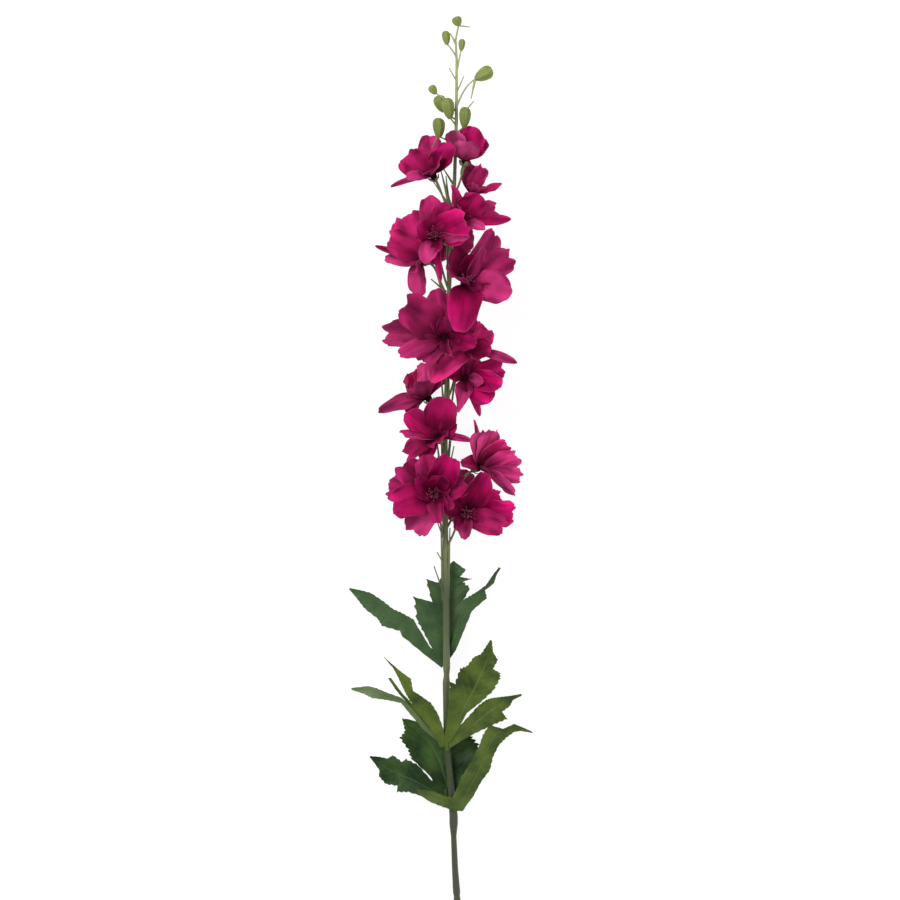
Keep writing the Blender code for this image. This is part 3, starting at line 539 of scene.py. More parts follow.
BLOOMS = (
    # Top pair, half cupped
    Bloom("bloom_a", (435, 179), 6, (-0.45, 0.75, 0.45), 215, 30, (
        Petal((391, 187), 2, 8, "strip", 0, 0.8),
        Petal((404, 156), 2, 31, "fan"),
        Petal((429, 135), -4, 22, "round"),
        Petal((453, 144), 8, 20, "plain"),
        Petal((406, 177), 14, 14, "plain"),
        Petal((440, 148), 3, 16, "plain"),
    ), 45.0),
    Bloom("bloom_b", (464, 165), 7, (0.2, 0.9, 0.1), 196, 28, (
        Petal((452, 131), 6, 20, "round"),
        Petal((474, 127), -5, 25, "round"),
        Petal((467, 141), 11, 24, "plain"),
        Petal((485, 139), 1, 17, "round"),
    ), 40.0),
    Bloom("bloom_c", (470, 198), 2, (0.4, 0.8, 0.1), 232, 22, (
        Petal((469, 161), 5, 20, "round"),
        Petal((484, 166), 3, 19, "fan"),
        Petal((502, 184), 4, 11, "strip"),
    ), 45.0),
    # Second tier
    Bloom("bloom_d", (436, 241), 14, (-0.15, 0.4, 0.9), 290, 38, (
        Petal((467, 221), 10, 32, "fan"),
        Petal((447, 203), 4, 22, "round"),
        Petal((430, 196), -6, 22, "round"),
        Petal((419, 224), 10, 22, "round"),
        Petal((470, 237), 16, 11, "plain", 55),
        Petal((425, 263), 15, 18, "round"),
        Petal((441, 281), 10, 8, "strip"),
    )),
    Bloom("bloom_e", (427, 262), 2, (-0.75, 0.35, 0.5), 300, 36, (
        Petal((375, 246), 2, 8, "strip", 0, 0.8),
        Petal((405, 214), 8, 36, "fan"),
        Petal((388, 237), 6, 24, "fan"),
        Petal((384, 259), -4, 15, "plain"),
        Petal((420, 296), -2, 20, "round"),
    ), 50.0),
    Bloom("bloom_f", (458, 221), 6, (0.75, 0.4, 0.45), 262, 34, (
        Petal((511, 219), 0, 13, "strip", 0, 0.8),
        Petal((480, 195), 4, 26, "round"),
        Petal((451, 184), 8, 16, "point"),
        Petal((497, 209), -6, 22, "fan"),
        Petal((485, 229), 12, 12, "plain"),
    ), 55.0),
    # Third tier
    Bloom("bloom_h", (464, 288), 8, (0.3, 0.7, 0.6), 330, 38, (
        Petal((497, 233), -8, 22, "fan"),
        Petal((512, 255), -3, 27, "fan"),
        Petal((511, 294), 8, 30, "round"),
        Petal((455, 248), 8, 22, "round"),
        Petal((471, 254), 4, 18, "plain"),
        Petal((484, 245), 9, 12, "plain", 30),
        Petal((459, 332), 18, 30, "round"),
    ), 50.0),
    # Fourth tier
    Bloom("bloom_j", (445, 338), 16, (-0.1, 0.15, 0.95), 395, 42, (
        Petal((403, 303), 8, 34, "fan"),
        Petal((435, 290), 1, 24, "round"),
        Petal((476, 320), 6, 24, "round"),
        Petal((383, 334), -14, 27, "fan"),
        Petal((399, 356), 6, 17, "plain"),
        Petal((422, 363), 9, 20, "fan"),
        Petal((453, 358), 17, 8, "plain", 60),
        Petal((477, 344), 11, 18, "plain"),
    )),
    Bloom("bloom_k", (466, 351), 4, (0.55, 0.5, 0.5), 400, 34, (
        Petal((517, 363), 2, 12, "strip"),
        Petal((486, 326), 5, 28, "fan"),
        Petal((492, 347), 8, 18, "plain"),
        Petal((431, 381), 9, 17, "round"),
    ), 55.0),
    Bloom("bloom_l", (462, 377), 2, (0.5, -0.15, 0.8), 430, 34, (
        Petal((480, 416), -4, 9, "strip", 0, 0.9),
        Petal((504, 366), 4, 22, "fan"),
        Petal((493, 399), 8, 24, "round"),
        Petal((502, 383), 5, 20, "round"),
        Petal((458, 413), 10, 16, "point"),
        Petal((484, 382), 12, 12, "plain"),
    )),
    Bloom("bloom_m", (430, 402), 2, (-0.35, 0.75, 0.1), 445, 36, (
        Petal((379, 412), 2, 16, "round", 0, 0.9),
        Petal((406, 414), -3, 15, "plain"),
        Petal((411, 371), 3, 28, "fan"),
        Petal((446, 361), -4, 24, "round"),
        Petal((427, 361), 9, 26, "fan"),
    ), 45.0),
    # Fifth tier
    Bloom("bloom_n", (440, 441), 8, (-0.3, 0.6, 0.55), 492, 34, (
        Petal((472, 441), 4, 9, "strip", 0, 0.8),
        Petal((405, 456), -4, 20, "fan"),
        Petal((424, 461), 2, 17, "plain"),
        Petal((405, 414), 4, 24, "round"),
        Petal((442, 397), 6, 30, "round"),
        Petal((401, 434), 12, 18, "plain", 30),
        Petal((457, 424), 2, 16, "plain"),
    ), 55.0),
    Bloom("bloom_o", (435, 493), 16, (-0.1, -0.05, 0.98), 545, 44, (
        Petal((402, 463), 8, 29, "fan"),
        Petal((387, 487), 8, 26, "fan"),
        Petal((391, 506), 7, 30, "fan"),
        Petal((413, 533), 6, 28, "fan"),
        Petal((427, 455), 7, 26, "round"),
        Petal((452, 456), 9, 26, "fan"),
        Petal((467, 482), 12, 22, "fan"),
        Petal((438, 524), 10, 16, "plain"),
        Petal((415, 478), 16, 16, "plain"),
        Petal((442, 475), 15, 18, "plain"),
        Petal((454, 508), 12, 14, "plain"),
    )),
    Bloom("bloom_p", (464, 512), 8, (0.25, -0.1, 0.96), 548, 40, (
        Petal((515, 514), 6, 26, "fan"),
        Petal((505, 529), 4, 22, "fan"),
        Petal((464, 540), 10, 14, "plain"),
        Petal((455, 530), 6, 12, "plain"),
        Petal((484, 523), 8, 18, "fan"),
        Petal((502, 497), 6, 22, "fan"),
        Petal((487, 474), 12, 24, "round"),
    )),
    Bloom("bloom_q", (474, 470), 0, (0.75, 0.4, 0.15), 530, 42, (
        Petal((474, 420), 2, 7, "strip"),
        Petal((478, 431), 12, 22, "fan"),
        Petal((493, 429), 16, 24, "fan"),
        Petal((508, 443), 8, 20, "fan"),
        Petal((519, 456), -2, 25, "fan"),
        Petal((522, 479), 2, 20, "fan"),
        Petal((516, 496), 5, 16, "plain"),
        Petal((460, 463), 8, 16, "plain"),
    ), 50.0),
    # Behind the stem, facing the surface
    Bloom("bloom_r", (446, 240), -14, (-0.1, 0.1, -0.98), 290, 52, (), 42.0),
    Bloom("bloom_s", (447, 340), -12, (0.1, 0.1, -0.98), 395, 50, (), 48.0),
    Bloom("bloom_t", (448, 492), -10, (-0.05, 0.0, -1.0), 545, 48, (), 56.0),
)

RING = 5
FIRST_TURN = 20.0  # degrees round the bloom, where no petal of it is given
CLEAR_TURN = 34.0  # degrees that a filling petal keeps from the next
FILLER_LENGTH = 0.84  # shares of the bloom's size
FILLER_WIDTH = 0.62

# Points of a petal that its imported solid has, as shares across and along it
EDGES = (-1, 1)
THIRDS = (-1, 0, 1)
FIFTHS = (-1, -0.5, 0, 0.5, 1)
MATCH_MIDDLE = {"fan": FIFTHS, "round": FIFTHS, "point": FIFTHS, "strip": THIRDS, "plain": THIRDS}
MATCH_END = {"fan": FIFTHS, "round": FIFTHS, "point": THIRDS, "strip": EDGES, "plain": THIRDS}
MATCH_LIMIT = 2.5  # a petal further from its bloom's solid than this has no place there

PETAL_GRID = {"fan": (33, 26), "round": (29, 24), "point": (23, 26), "strip": (11, 20), "plain": (33, 24)}
# Depth of the scallops in a petal's end, as a share of its length, and how many there are
TEETH = {"fan": 0.05, "round": 0.025, "point": 0.02, "strip": 0.0, "plain": 0.045}
NARROW = 16.5  # a petal no wider than this keeps its solid's outline
FULLNESS = 0.25  # how much less than its solid's a fine petal's end falls back at its edges
CLAW_OUT = 0.8
OVERLAP = 9.0  # degrees that each petal is rolled under the next
CUPPING = 0.2  # how much a petal's sides stand over its middle, for each millimetre of half width
TWIST = 0.16  # how much its end turns to one side, likewise
EASE_FROM = 0.3  # share of a petal's length where its ruffles start
RIPPLE = 0.05  # wave in the line of its edges, as a share of its half width
STRIP_END = 0.72  # share of a strip's length where its round end starts
STRIP_ROUND = 0.285
STRIP_TAPER = 0.35
# Waves of a petal's edges, frill of its end, crease at its middle and long folds, as shares of its width
FLUTTER = 0.065
FRILL = 0.05
CREASE = 0.035
FOLDS = 0.016
RUFFLE_WIDTH = 26.0  # a wider petal has the waves of this width
SLANT = 0.05  # the most that a fine petal reaches further at one edge than at the other
TOOTH_COUNT = {"fan": 3.4, "round": 2.8, "point": 2.2, "strip": 1.5, "plain": 3.4}


def stand(bloom):
    """Where a bloom sits on its cup, its axis and two directions across it."""
    seat = place(*bloom.seat, stem_height(bloom.seat[1]) + bloom.lift)
    axis = Vector(bloom.axis).normalized()
    return seat, axis, *across_from(axis)


def whole_ring(bloom):
    """The bloom's petals, with plain ones added where its ring of five has none."""
    seat, axis, side, over = stand(bloom)
    turns = []
    for petal in bloom.petals:
        reach = place(*petal.tip, seat.z + petal.rise) - seat
        turns.append(math.atan2(reach.dot(over), reach.dot(side)))
    petals = list(bloom.petals)
    first = turns[0] if turns else math.radians(FIRST_TURN)
    for number in range(RING):
        turn = first + math.tau * number / RING
        apart = [abs(math.remainder(turn - other, math.tau)) for other in turns]
        if apart and min(apart) < math.radians(CLEAR_TURN):
            continue
        way = around(axis, around(side, over, turn), math.radians(bloom.open))
        tip = seat + way * bloom.size * FILLER_LENGTH
        petals.append(Petal(pixel_of(tip), tip.z - seat.z, bloom.size * FILLER_WIDTH, "plain", 0.0, 0.0))
    return petals


def turn_to_view(side, way):
    """Angle that turns a blade's width, round its own length, level with the surface."""
    level = way.cross(Vector((0.0, 0.0, 1.0)))
    if level.length < SHORT:
        return 0.0
    level.normalize()
    if level.dot(side) < 0.0:
        level = -level
    return math.atan2(side.cross(level).dot(way), side.dot(level))


def half_width(width, v, low=0.12, span=0.48, taper=0.24):
    """Half of a petal's width at v, from 0 at its claw to 1 at its end."""
    rise = np.sin(math.pi / 2 * np.clip((v - low) / span, 0.0, 1.0))
    fall = np.clip((v - 0.6) / 0.4, 0.0, None)
    return CLAW_HALF + (width / 2 - CLAW_HALF) * rise * (1.0 - taper * fall * fall)


def fuller_half(width, v):
    """The same for a fine petal, which stays broad up to its end."""
    return half_width(width, v, 0.1, 0.45, 0.12)


def petal_end(shape, u, fullness=0.0):
    """How far a petal reaches at u, from -1 at its left edge to 1 at its right."""
    fall = END_FALL[shape] * (1.0 - fullness) * np.abs(u) ** (1.2 if shape in ("point", "strip") else 2.2)
    dip = END_DIP[shape] * np.clip(1.0 - (u / 0.5) ** 2, 0.0, None)
    return (1.0 - fall - dip) * END_REACH[shape]


def teeth(u, count, luck):
    """Irregular scallops across a petal's end, between 0 at their tops and 1 in their notches."""
    first = 1.0 - np.abs(np.sin((u + 0.12 * np.sin(3.0 * u + luck.uniform(0, 6))) * count * math.pi / 2
                                + luck.uniform(0, 3)))
    second = 0.5 + 0.5 * np.sin(u * count * 5.3 + luck.uniform(0.0, math.tau))
    return 0.8 * first**1.5 + 0.2 * second


def petal_points(bloom, petal, number, bend, share, us, vs, luck=None):
    """Grid of points of a petal's middle surface. With luck it also has its teeth and ruffles."""
    seat, axis, _, _ = stand(bloom)
    claw = seat + axis * (CLAW_AT + CLAW_STEP * number)
    tip = place(*petal.tip, seat.z + petal.rise + bend)
    reach = (tip - claw) * share
    out = reach - axis * reach.dot(axis)
    out.normalize()
    start = claw + out * CLAW_OUT
    tip = claw + reach
    length = reach.length
    first = start + (axis * 0.5 + out * 0.6) * (length * 0.34)
    second = tip.lerp(first, 0.45) + axis * (length * 0.05)
    side = axis.cross(out)
    shown = math.radians(petal.roll + OVERLAP) + petal.show * turn_to_view(side, reach.normalized())
    wave = math.sin(number * 2.4 + bloom.size)

    u, v = np.meshgrid(np.array(us, float), np.array(vs, float))
    half = half_width(petal.width, v)
    end = petal_end(petal.shape, u)
    lift = CUPPING * half * u * u + TWIST * half * v * v * np.sin(math.pi * u + wave * 3)
    if luck:
        ease = np.clip((v - EASE_FROM) / (1.0 - EASE_FROM), 0.0, 1.0)
        if petal.shape in ("fan", "round", "plain") and petal.width > NARROW:
            half = fuller_half(petal.width, v)
            end = petal_end(petal.shape, u, FULLNESS) + luck.uniform(-SLANT, SLANT) * u * ease
        end = end - TEETH[petal.shape] * ease**2 * teeth(u, TOOTH_COUNT[petal.shape], luck)
        half = half * (1.0 + RIPPLE * ease * np.sin(v * luck.uniform(9, 14) + luck.uniform(0, 6) + u))
        flutter = np.abs(u) ** 1.6 * ease * np.sin(v * luck.uniform(10, 15) + luck.uniform(0, 6) + 2.0 * u)
        if petal.shape == "strip":
            past = np.clip(v - STRIP_END, 0.0, None) / STRIP_ROUND
            half = half * np.sqrt(np.clip(1.0 - past**2, 0.02, 1.0)) * (1.0 - STRIP_TAPER * v)
        frill = ease**3 * np.sin(u * luck.uniform(5, 8) + luck.uniform(0, 6))
        crease = -np.exp(-((u / 0.1) ** 2)) * np.sin(math.pi * np.clip(v, 0.0, 1.0))
        folds = np.sin(u * 17.0 + luck.uniform(0, 6) + 1.2 * np.sin(v * 5.0)) * np.sin(math.pi * v) * ease
        width = min(petal.width, RUFFLE_WIDTH)
        lift = lift + width * (FLUTTER * flutter + FRILL * frill + CREASE * crease + FOLDS * folds)
    s = (v * end)[..., None]
    a, b, c, d = (np.array(point) for point in (start, first, second, tip))
    middle = bezier(a, b, c, d, s)
    t = 1.0 - s
    along = (b - a) * t * t + (c - b) * 2 * t * s + (d - c) * s * s
    along /= np.linalg.norm(along, axis=2, keepdims=True)
    axis_row, out_row, side_row = np.array(axis), np.array(out), np.array(side)
    up = axis_row * (along @ out_row)[..., None] - out_row * (along @ axis_row)[..., None]
    turn = (shown * np.minimum(1.0, v * 1.4))[..., None]
    over = side_row * np.cos(turn) + np.cross(along, np.broadcast_to(side_row, along.shape)) * np.sin(turn)
    up = up * np.cos(turn) + np.cross(along, up) * np.sin(turn)
    return middle + over * (half * u)[..., None] + up * lift[..., None]


# Painted light of each petal of a bloom, painted shade below 1 and painted highlight above 1, and how pale it
# is, in the order of its petals
PAINTED_LIGHT_AND_PALENESS = {
    "bloom_a": ((0.95, 0.6), (0.92, 0.25), (1.0, 0.5), (0.75, 0.1), (1.0, 0.8), (0.8, 0.3)),
    "bloom_b": ((0.85, 0.6), (0.95, 0.05), (0.8, 0.5), (1.0, 0.3)),
    "bloom_c": ((0.95, 0.55), (0.95, 0.5), (1.05, 0.2)),
    "bloom_d": ((1.15, 0.0), (0.68, 0.1), (1.05, 0.5), (0.58, 0.0), (1.0, 0.9), (1.05, 0.9), (1.1, 0.1)),
    "bloom_e": ((0.9, 0.6), (1.22, 0.35), (1.15, 0.35), (1.2, 1.0), (0.95, 0.8)),
    "bloom_f": ((1.0, 0.1), (0.78, 0.1), (0.9, 0.3), (0.85, 0.6), (1.1, 0.9)),
    "bloom_h": ((0.95, 0.75), (0.8, 0.5), (1.05, 0.75), (0.42, 0.15), (0.36, 0.0), (0.7, 0.8), (0.86, 0.0)),
    "bloom_j": ((0.68, 0.4), (0.85, 0.5), (0.6, 0.0), (0.65, 0.7), (0.75, 0.6), (0.7, 0.5), (0.8, 0.5),
                (0.62, 0.0)),
    "bloom_k": ((0.9, 0.8), (1.45, 0.45), (0.8, 0.2), (1.45, 0.4)),
    "bloom_l": ((1.05, 0.6), (0.85, 0.1), (1.08, 0.0), (1.08, 0.0), (0.85, 0.85), (0.8, 0.8)),
    "bloom_m": ((0.76, 0.85), (0.8, 0.6), (1.25, 0.6), (1.15, 0.5), (1.5, 0.4)),
    "bloom_n": ((1.0, 0.6), (0.85, 0.3), (0.95, 0.2), (1.02, 0.1), (0.7, 0.1), (1.0, 0.5), (0.72, 0.1)),
    "bloom_o": ((0.72, 0.35), (0.78, 0.35), (0.9, 0.1), (1.05, 0.95), (0.7, 0.4), (0.75, 0.0), (0.8, 0.2),
                (0.7, 0.4), (0.5, 0.0), (0.5, 0.0), (0.75, 0.3)),
    "bloom_p": ((1.25, 0.0), (0.88, 0.35), (0.85, 0.8), (0.8, 0.6), (0.9, 0.15), (1.05, 0.0), (0.75, 0.0)),
    "bloom_q": ((1.0, 0.7), (1.4, 1.0), (1.5, 1.0), (1.3, 0.4), (1.2, 0.0), (1.05, 0.1), (1.0, 0.3),
                (0.7, 0.3)),
}
# Filling petals get painted shade
FILLER_LIGHT_AND_PALENESS = (0.68, 0.15)
# Painted shade of the small inner petals round a bloom's heart
INNER_PAINTED_SHADES = (0.34, 0.52)
INNER_COUNT = {
    "bloom_d": 3, "bloom_h": 2, "bloom_j": 4, "bloom_l": 2, "bloom_n": 3, "bloom_o": 3, "bloom_p": 2,
}
INNER_LEAN = (34.0, 66.0)  # degrees from the bloom's axis
INNER_LENGTH = (0.34, 0.56)  # shares of the bloom's size
INNER_WIDTH = (0.24, 0.42)
INNER_GRID = (21, 18)


def painted_light_and_paleness_of(bloom, number, luck):
    """A petal's painted light and its paleness, with a little random spread. The light is painted shade below
    1 and painted highlight above 1; petals behind the others get painted shade.
    """
    painted_lights_and_pales = PAINTED_LIGHT_AND_PALENESS.get(bloom.name, ())
    painted_light, pale = painted_lights_and_pales[number] if number < len(painted_lights_and_pales) else FILLER_LIGHT_AND_PALENESS
    return painted_light * luck.uniform(0.95, 1.05), pale


def follow_solid(bloom, petal, number, tree):
    """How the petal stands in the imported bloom: its bend, its share of the length and how far it
    is from the solid."""
    best = (None, None, 1e9)
    for share in SHORTER:
        for step in BEND_STEPS:
            bend = step * BEND_STEP
            middle = petal_points(bloom, petal, number, bend, share, MATCH_MIDDLE[petal.shape], (0.6,))
            end = petal_points(bloom, petal, number, bend, share, MATCH_END[petal.shape], (1.0,))
            points = list(middle.reshape(-1, 3)) + list(end.reshape(-1, 3))
            apart = sum(tree.find_nearest(Vector(point))[3] for point in points) / len(points)
            if apart < best[2] - 0.02:
                best = (bend, share, apart)
    return best


STAMEN_COUNT = {"bloom_d": 18, "bloom_h": 18, "bloom_o": 28, "bloom_p": 24}
STAMEN_SPREAD = (0.15, 0.75)
STAMEN_REACH = (3.5, 8.5)  # in a bloom of FULL_SIZE
FULL_SIZE = 40.0
STAMEN_ROOT = 5.6  # along the bloom's axis


def inner_petals(bloom, luck):
    """Small half-open petals round a bloom's heart."""
    seat, axis, side, over = stand(bloom)
    count = INNER_COUNT.get(bloom.name, 0)
    petals = []
    for number in range(count):
        turn = math.tau * (number + luck.uniform(0.0, 1.0)) / count
        lean = math.radians(luck.uniform(*INNER_LEAN))
        way = around(axis, around(side, over, turn), lean)
        tip = seat + way * bloom.size * luck.uniform(*INNER_LENGTH)
        width = bloom.size * luck.uniform(*INNER_WIDTH)
        petals.append(Petal(pixel_of(tip), tip.z - seat.z, width, "plain", luck.uniform(-30.0, 30.0), 0.2))
    return petals


def add_stamens(shape, bloom, luck):
    """A dark core with a tuft of stamens, which half-closed blooms hide."""
    seat, axis, side, over = stand(bloom)
    shape.tube([seat + axis * (GAP + a) for a, r in CORE_RINGS], [r for a, r in CORE_RINGS], 14, slot=0)
    count = STAMEN_COUNT.get(bloom.name, 0)
    for number in range(count):
        turn = math.tau * (number + luck.random()) / count
        out = around(side, over, turn)
        spread = luck.uniform(*STAMEN_SPREAD)
        reach = luck.uniform(*STAMEN_REACH) * bloom.size / FULL_SIZE
        root = seat + axis * STAMEN_ROOT + out * luck.uniform(0.4, 1.6)
        bend = root + axis * (reach * 0.6) + out * (reach * spread * 0.3)
        top = root + axis * reach + out * (reach * spread)
        shape.tube([root, bend, top], [0.24, 0.2, 0.16], 5, slot=1)
        tip = top + (top - bend).normalized() * 1.5
        shape.tube([top, top.lerp(tip, 0.3), top.lerp(tip, 0.75), tip], [0.2, 0.55, 0.5, 0.15], 6, slot=1)


def make_bloom(bloom):
    """A bloom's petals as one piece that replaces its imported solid, and its heart as another."""
    luck = random.Random(bloom.name)
    tree = node_tree(bloom.name)
    petals = Shape()
    ring = whole_ring(bloom)
    for number, petal in enumerate(ring):
        bend, share, apart = follow_solid(bloom, petal, number, tree)
        if apart > MATCH_LIMIT:
            continue
        us, vs = grid_shares(*PETAL_GRID[petal.shape])
        points = petal_points(bloom, petal, number, bend, share, us, vs, luck)
        petals.blade(points, us, vs, PETAL_THICK, number, face=1, back=0, tone=painted_light_and_paleness_of(bloom, number, luck))
    us, vs = grid_shares(*INNER_GRID)
    for number, petal in enumerate(inner_petals(bloom, luck), len(ring)):
        points = petal_points(bloom, petal, number, 0.0, 1.0, us, vs, luck)
        # Inner petals get deep painted shade, for the shade round the heart
        tone = (luck.uniform(*INNER_PAINTED_SHADES), luck.uniform(0.0, 0.3))
        petals.blade(points, us, vs, PETAL_THICK, number, face=1, back=0, tone=tone)
    piece = petals.make(bloom.name + "_petals", [PETAL_FACE, PETAL_BACK])
    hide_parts(bloom.name)
    heart = Shape()
    add_stamens(heart, bloom, luck)
    heart.make(bloom.name + "_heart", [HEART, STAMEN])


# Stem, stalks, buds and bracts

STEM_COURSE = (
    # column, row, radius
    (457.5, 912, 3.1),
    (457.0, 899, 3.1),
    (456.8, 896, 2.7),
    (456.5, 892, 3.3),
    (455.0, 870, 2.8),
    (453.6, 836, 2.5),
    (453.5, 824, 3.8),
    (453.5, 816, 3.8),
    (452.0, 800, 3.1),
    (447.0, 745, 3.0),
    (446.2, 682, 3.3),
    (446.5, 675, 2.5),
    (446.5, 668, 3.2),
    (446.0, 600, 3.0),
    (445.0, 520, 2.7),
    (445.0, 440, 2.4),
    (447.0, 380, 2.2),
    (449.0, 290, 1.9),
    (451.0, 250, 1.8),
    (454.5, 180, 1.6),
    (456.3, 120, 1.5),
    (456.6, 60, 1.1),
    (455.5, 40, 0.9),
    (458.0, 28, 0.8),
)


def stem_at(y):
    """Point of the stem's middle line where the view shows row y, and the radius there."""
    for (x0, y0, r0), (x1, y1, r1) in zip(STEM_COURSE, STEM_COURSE[1:]):
        if y0 >= y >= y1:
            share = (y0 - y) / (y0 - y1)
            return place(x0 + (x1 - x0) * share, y, stem_height(y)), r0 + (r1 - r0) * share
    x, y, radius = STEM_COURSE[-1]
    return place(x, y, stem_height(y)), radius


CUP_RADIUS = 2.4
CUP_LENGTH = 3.2
STALK = ((0.0, 1.2), (0.35, 0.95), (0.7, 0.9), (1.0, 1.1))
STALK_STEPS = 14
CUP_PROFILE = ((0.35, 1.7), (0.7, 2.2), (1.0, CUP_RADIUS))  # share of the cup's length, radius
SEPALS = 5
SEPAL_GRID = (7, 9)
SEPAL_LENGTH = (4.0, 6.5)
SEPAL_HALF = 1.7
SEPAL_THICK = 0.3


def add_stalk(shape, bloom, luck):
    """A flower stalk with its cup and five small sepals."""
    root = stem_at(bloom.root)[0]
    seat, axis, side, over = stand(bloom)
    span = (seat - root).length
    along = (stem_at(bloom.root - 20)[0] - root).normalized()
    away = seat - root
    away -= along * away.dot(along)
    first = root + along * (span * 0.3) + away * 0.55
    neck = seat - axis * CUP_LENGTH
    second = neck - axis * (span * 0.3)
    points, radii = [], []
    for step in range(STALK_STEPS + 1):
        share = step / STALK_STEPS
        points.append(bezier(root, first, second, neck, share))
        radii.append(float(np.interp(share, [s for s, r in STALK], [r for s, r in STALK])))
    for share, radius in CUP_PROFILE:
        points.append(neck.lerp(seat, share))
        radii.append(radius)
    shape.tube(points, radii, 12, slot=0)
    us, vs = grid_shares(*SEPAL_GRID)
    for number in range(SEPALS):
        turn = math.tau * (number + luck.uniform(-0.2, 0.2)) / SEPALS
        out = around(side, over, turn)
        wide = axis.cross(out)
        reach = luck.uniform(*SEPAL_LENGTH)
        grid = np.zeros((len(vs), len(us), 3))
        for i, v in enumerate(vs):
            middle = seat - axis * 1.2 + out * (2.1 + 0.62 * reach * v) + axis * (0.75 * reach * v * v)
            half = SEPAL_HALF * math.sin(math.pi * (0.22 + 0.78 * (1.0 - v)) * 0.9) + 0.12
            for j, u in enumerate(us):
                grid[i, j] = middle + wide * (half * u) + axis * (0.35 * u * u)
        shape.blade(grid, us, vs, SEPAL_THICK, number, face=1, back=1)


Bud = namedtuple("Bud", "root way base tip lift radius")

# root: row on the stem; way: pixel that the stalk bends through; base, tip: ends of the bud
BUDS = (
    Bud(30, (458, 28), (459, 26), (455, 17), 0.0, 4.6),
    Bud(58, (453, 50), (447, 45), (445, 31), 2.0, 3.9),
    Bud(72, (459, 60), (461, 51), (462, 39), -1.0, 3.2),
    Bud(108, (464, 86), (475, 79), (492, 69), 3.0, 6.3),
    Bud(112, (442, 96), (436, 94), (430, 86), -2.0, 3.9),
    Bud(120, (450, 116), (444, 112), (437, 96), -6.0, 6.0),
    Bud(126, (453, 121), (450, 119), (446, 98), 6.0, 5.9),
    Bud(133, (459, 131), (464, 128), (465, 107), 2.0, 5.5),
    Bud(146, (448, 140), (439, 138), (438, 118), 3.0, 5.8),
)
# Share of the bud's length, share of its radius
BUD_PROFILE = (
    (0.0, 0.3), (0.06, 0.4), (0.2, 0.68), (0.45, 0.92), (0.7, 1.0), (0.86, 0.86), (0.95, 0.62), (1.0, 0.3),
)
BUD_LEAST = 0.25
BUD_STEPS = 18
BUD_STALK_STEPS = 12
BUD_RIB_DEPTH = 0.2
BUD_BODY = 0.88  # share of the bud's radius without the ribs that stand out of it


def add_bud(shape, bud):
    """A ribbed bud on its own thin stalk."""
    height = stem_height(bud.base[1]) + bud.lift
    root = stem_at(bud.root)[0]
    way = place(*bud.way, (root.z + height) / 2 + bud.lift * 0.3)
    base = place(*bud.base, height)
    tip = place(*bud.tip, height + 0.5)
    ends = (root, way.lerp(root, 0.3), way.lerp(base, 0.25), base.lerp(tip, 0.08))
    steps = [step / BUD_STALK_STEPS for step in range(BUD_STALK_STEPS + 1)]
    shape.tube([bezier(*ends, share) for share in steps], [0.9 - 0.3 * share for share in steps], 8, slot=0)
    shares = [s for s, r in BUD_PROFILE]
    wides = [r for s, r in BUD_PROFILE]
    points, radii = [], []
    for step in range(BUD_STEPS + 1):
        share = step / BUD_STEPS
        points.append(base.lerp(tip, share))
        radii.append(max(BUD_LEAST, bud.radius * BUD_BODY * float(np.interp(share, shares, wides))))
    shape.tube(points, radii, 40, slot=1, ribs=5, rib_depth=BUD_RIB_DEPTH)


# Spurs and thin bracts: pixels of root and end, lift of each over the stem's line, radius at root
SPRIGS = (
    ((460, 26), (470, 27), 0.0, 0.0, 0.9),
    ((475, 80), (471, 99), 3.0, 5.0, 1.2),
    ((466, 110), (474, 101), 3.0, 5.0, 0.8),
    ((438, 136), (432, 148), 3.0, 7.0, 0.9),
    ((457, 82), (449, 68), 0.0, 3.0, 0.7),
    ((457, 92), (464, 76), 0.0, 3.0, 0.7),
    ((456, 44), (450, 33), 0.0, 2.0, 1.2),
    ((453, 184), (443, 168), 0.0, 5.0, 1.1),
    ((452, 210), (433, 181), 0.0, 5.0, 1.1),
    ((450, 206), (441, 171), 0.0, 8.0, 1.9),
    ((446, 292), (431, 279), 0.0, 3.0, 1.2),
    ((442, 448), (457, 414), 0.0, 4.0, 1.2),
    ((446, 480), (451, 440), 0.0, 3.0, 1.9),
    ((448, 598), (450, 528), 0.0, 3.0, 1.6),
    ((443, 600), (441, 530), 0.0, 2.0, 1.5),
    ((445, 598), (434, 566), 0.0, 6.0, 0.8),
    ((445, 566), (437, 552), 0.0, 5.0, 0.7),
    ((445, 542), (438, 524), 0.0, 8.0, 0.8),
)
SPRIG_ARCH = 0.8
SPRIG_TIP = 0.5  # radius
SPRIG_STEPS = 10


def add_sprig(shape, root, end, root_lift, end_lift, radius):
    """A thin tapered spur or bract."""
    start = place(*root, stem_height(root[1]) + root_lift)
    stop = place(*end, stem_height(end[1]) + end_lift)
    middle = start.lerp(stop, 0.5) + Vector((0.0, 0.0, SPRIG_ARCH))
    steps = [step / SPRIG_STEPS for step in range(SPRIG_STEPS + 1)]
    radii = [radius + (SPRIG_TIP - radius) * share for share in steps]
    shape.tube([bezier(start, middle, middle, stop, share) for share in steps], radii, 8, slot=0)


STEM_STEP = 3.0  # rows of the view between rings of the stem
# Thin stalks that hug the stem, as the bracts are given
HUGGING = (
    ((441, 474), (436, 434), 0.0, 2.0, 1.3),
    ((443, 474), (441, 434), 1.0, 3.0, 1.2),
    ((447, 474), (450, 434), 1.0, 3.0, 1.2),
    ((449, 470), (454, 446), 0.0, 2.0, 0.8),
    ((444, 410), (441, 374), 1.0, 2.0, 1.3),
    ((449, 410), (449, 374), 1.0, 3.0, 1.0),
    ((453, 424), (461, 394), 0.0, 2.0, 1.5),
    ((447, 206), (436, 182), 0.0, 4.0, 1.2),
    ((449, 206), (446, 176), 0.0, 4.0, 1.3),
    ((446, 296), (435, 268), 0.0, 3.0, 1.5),
)


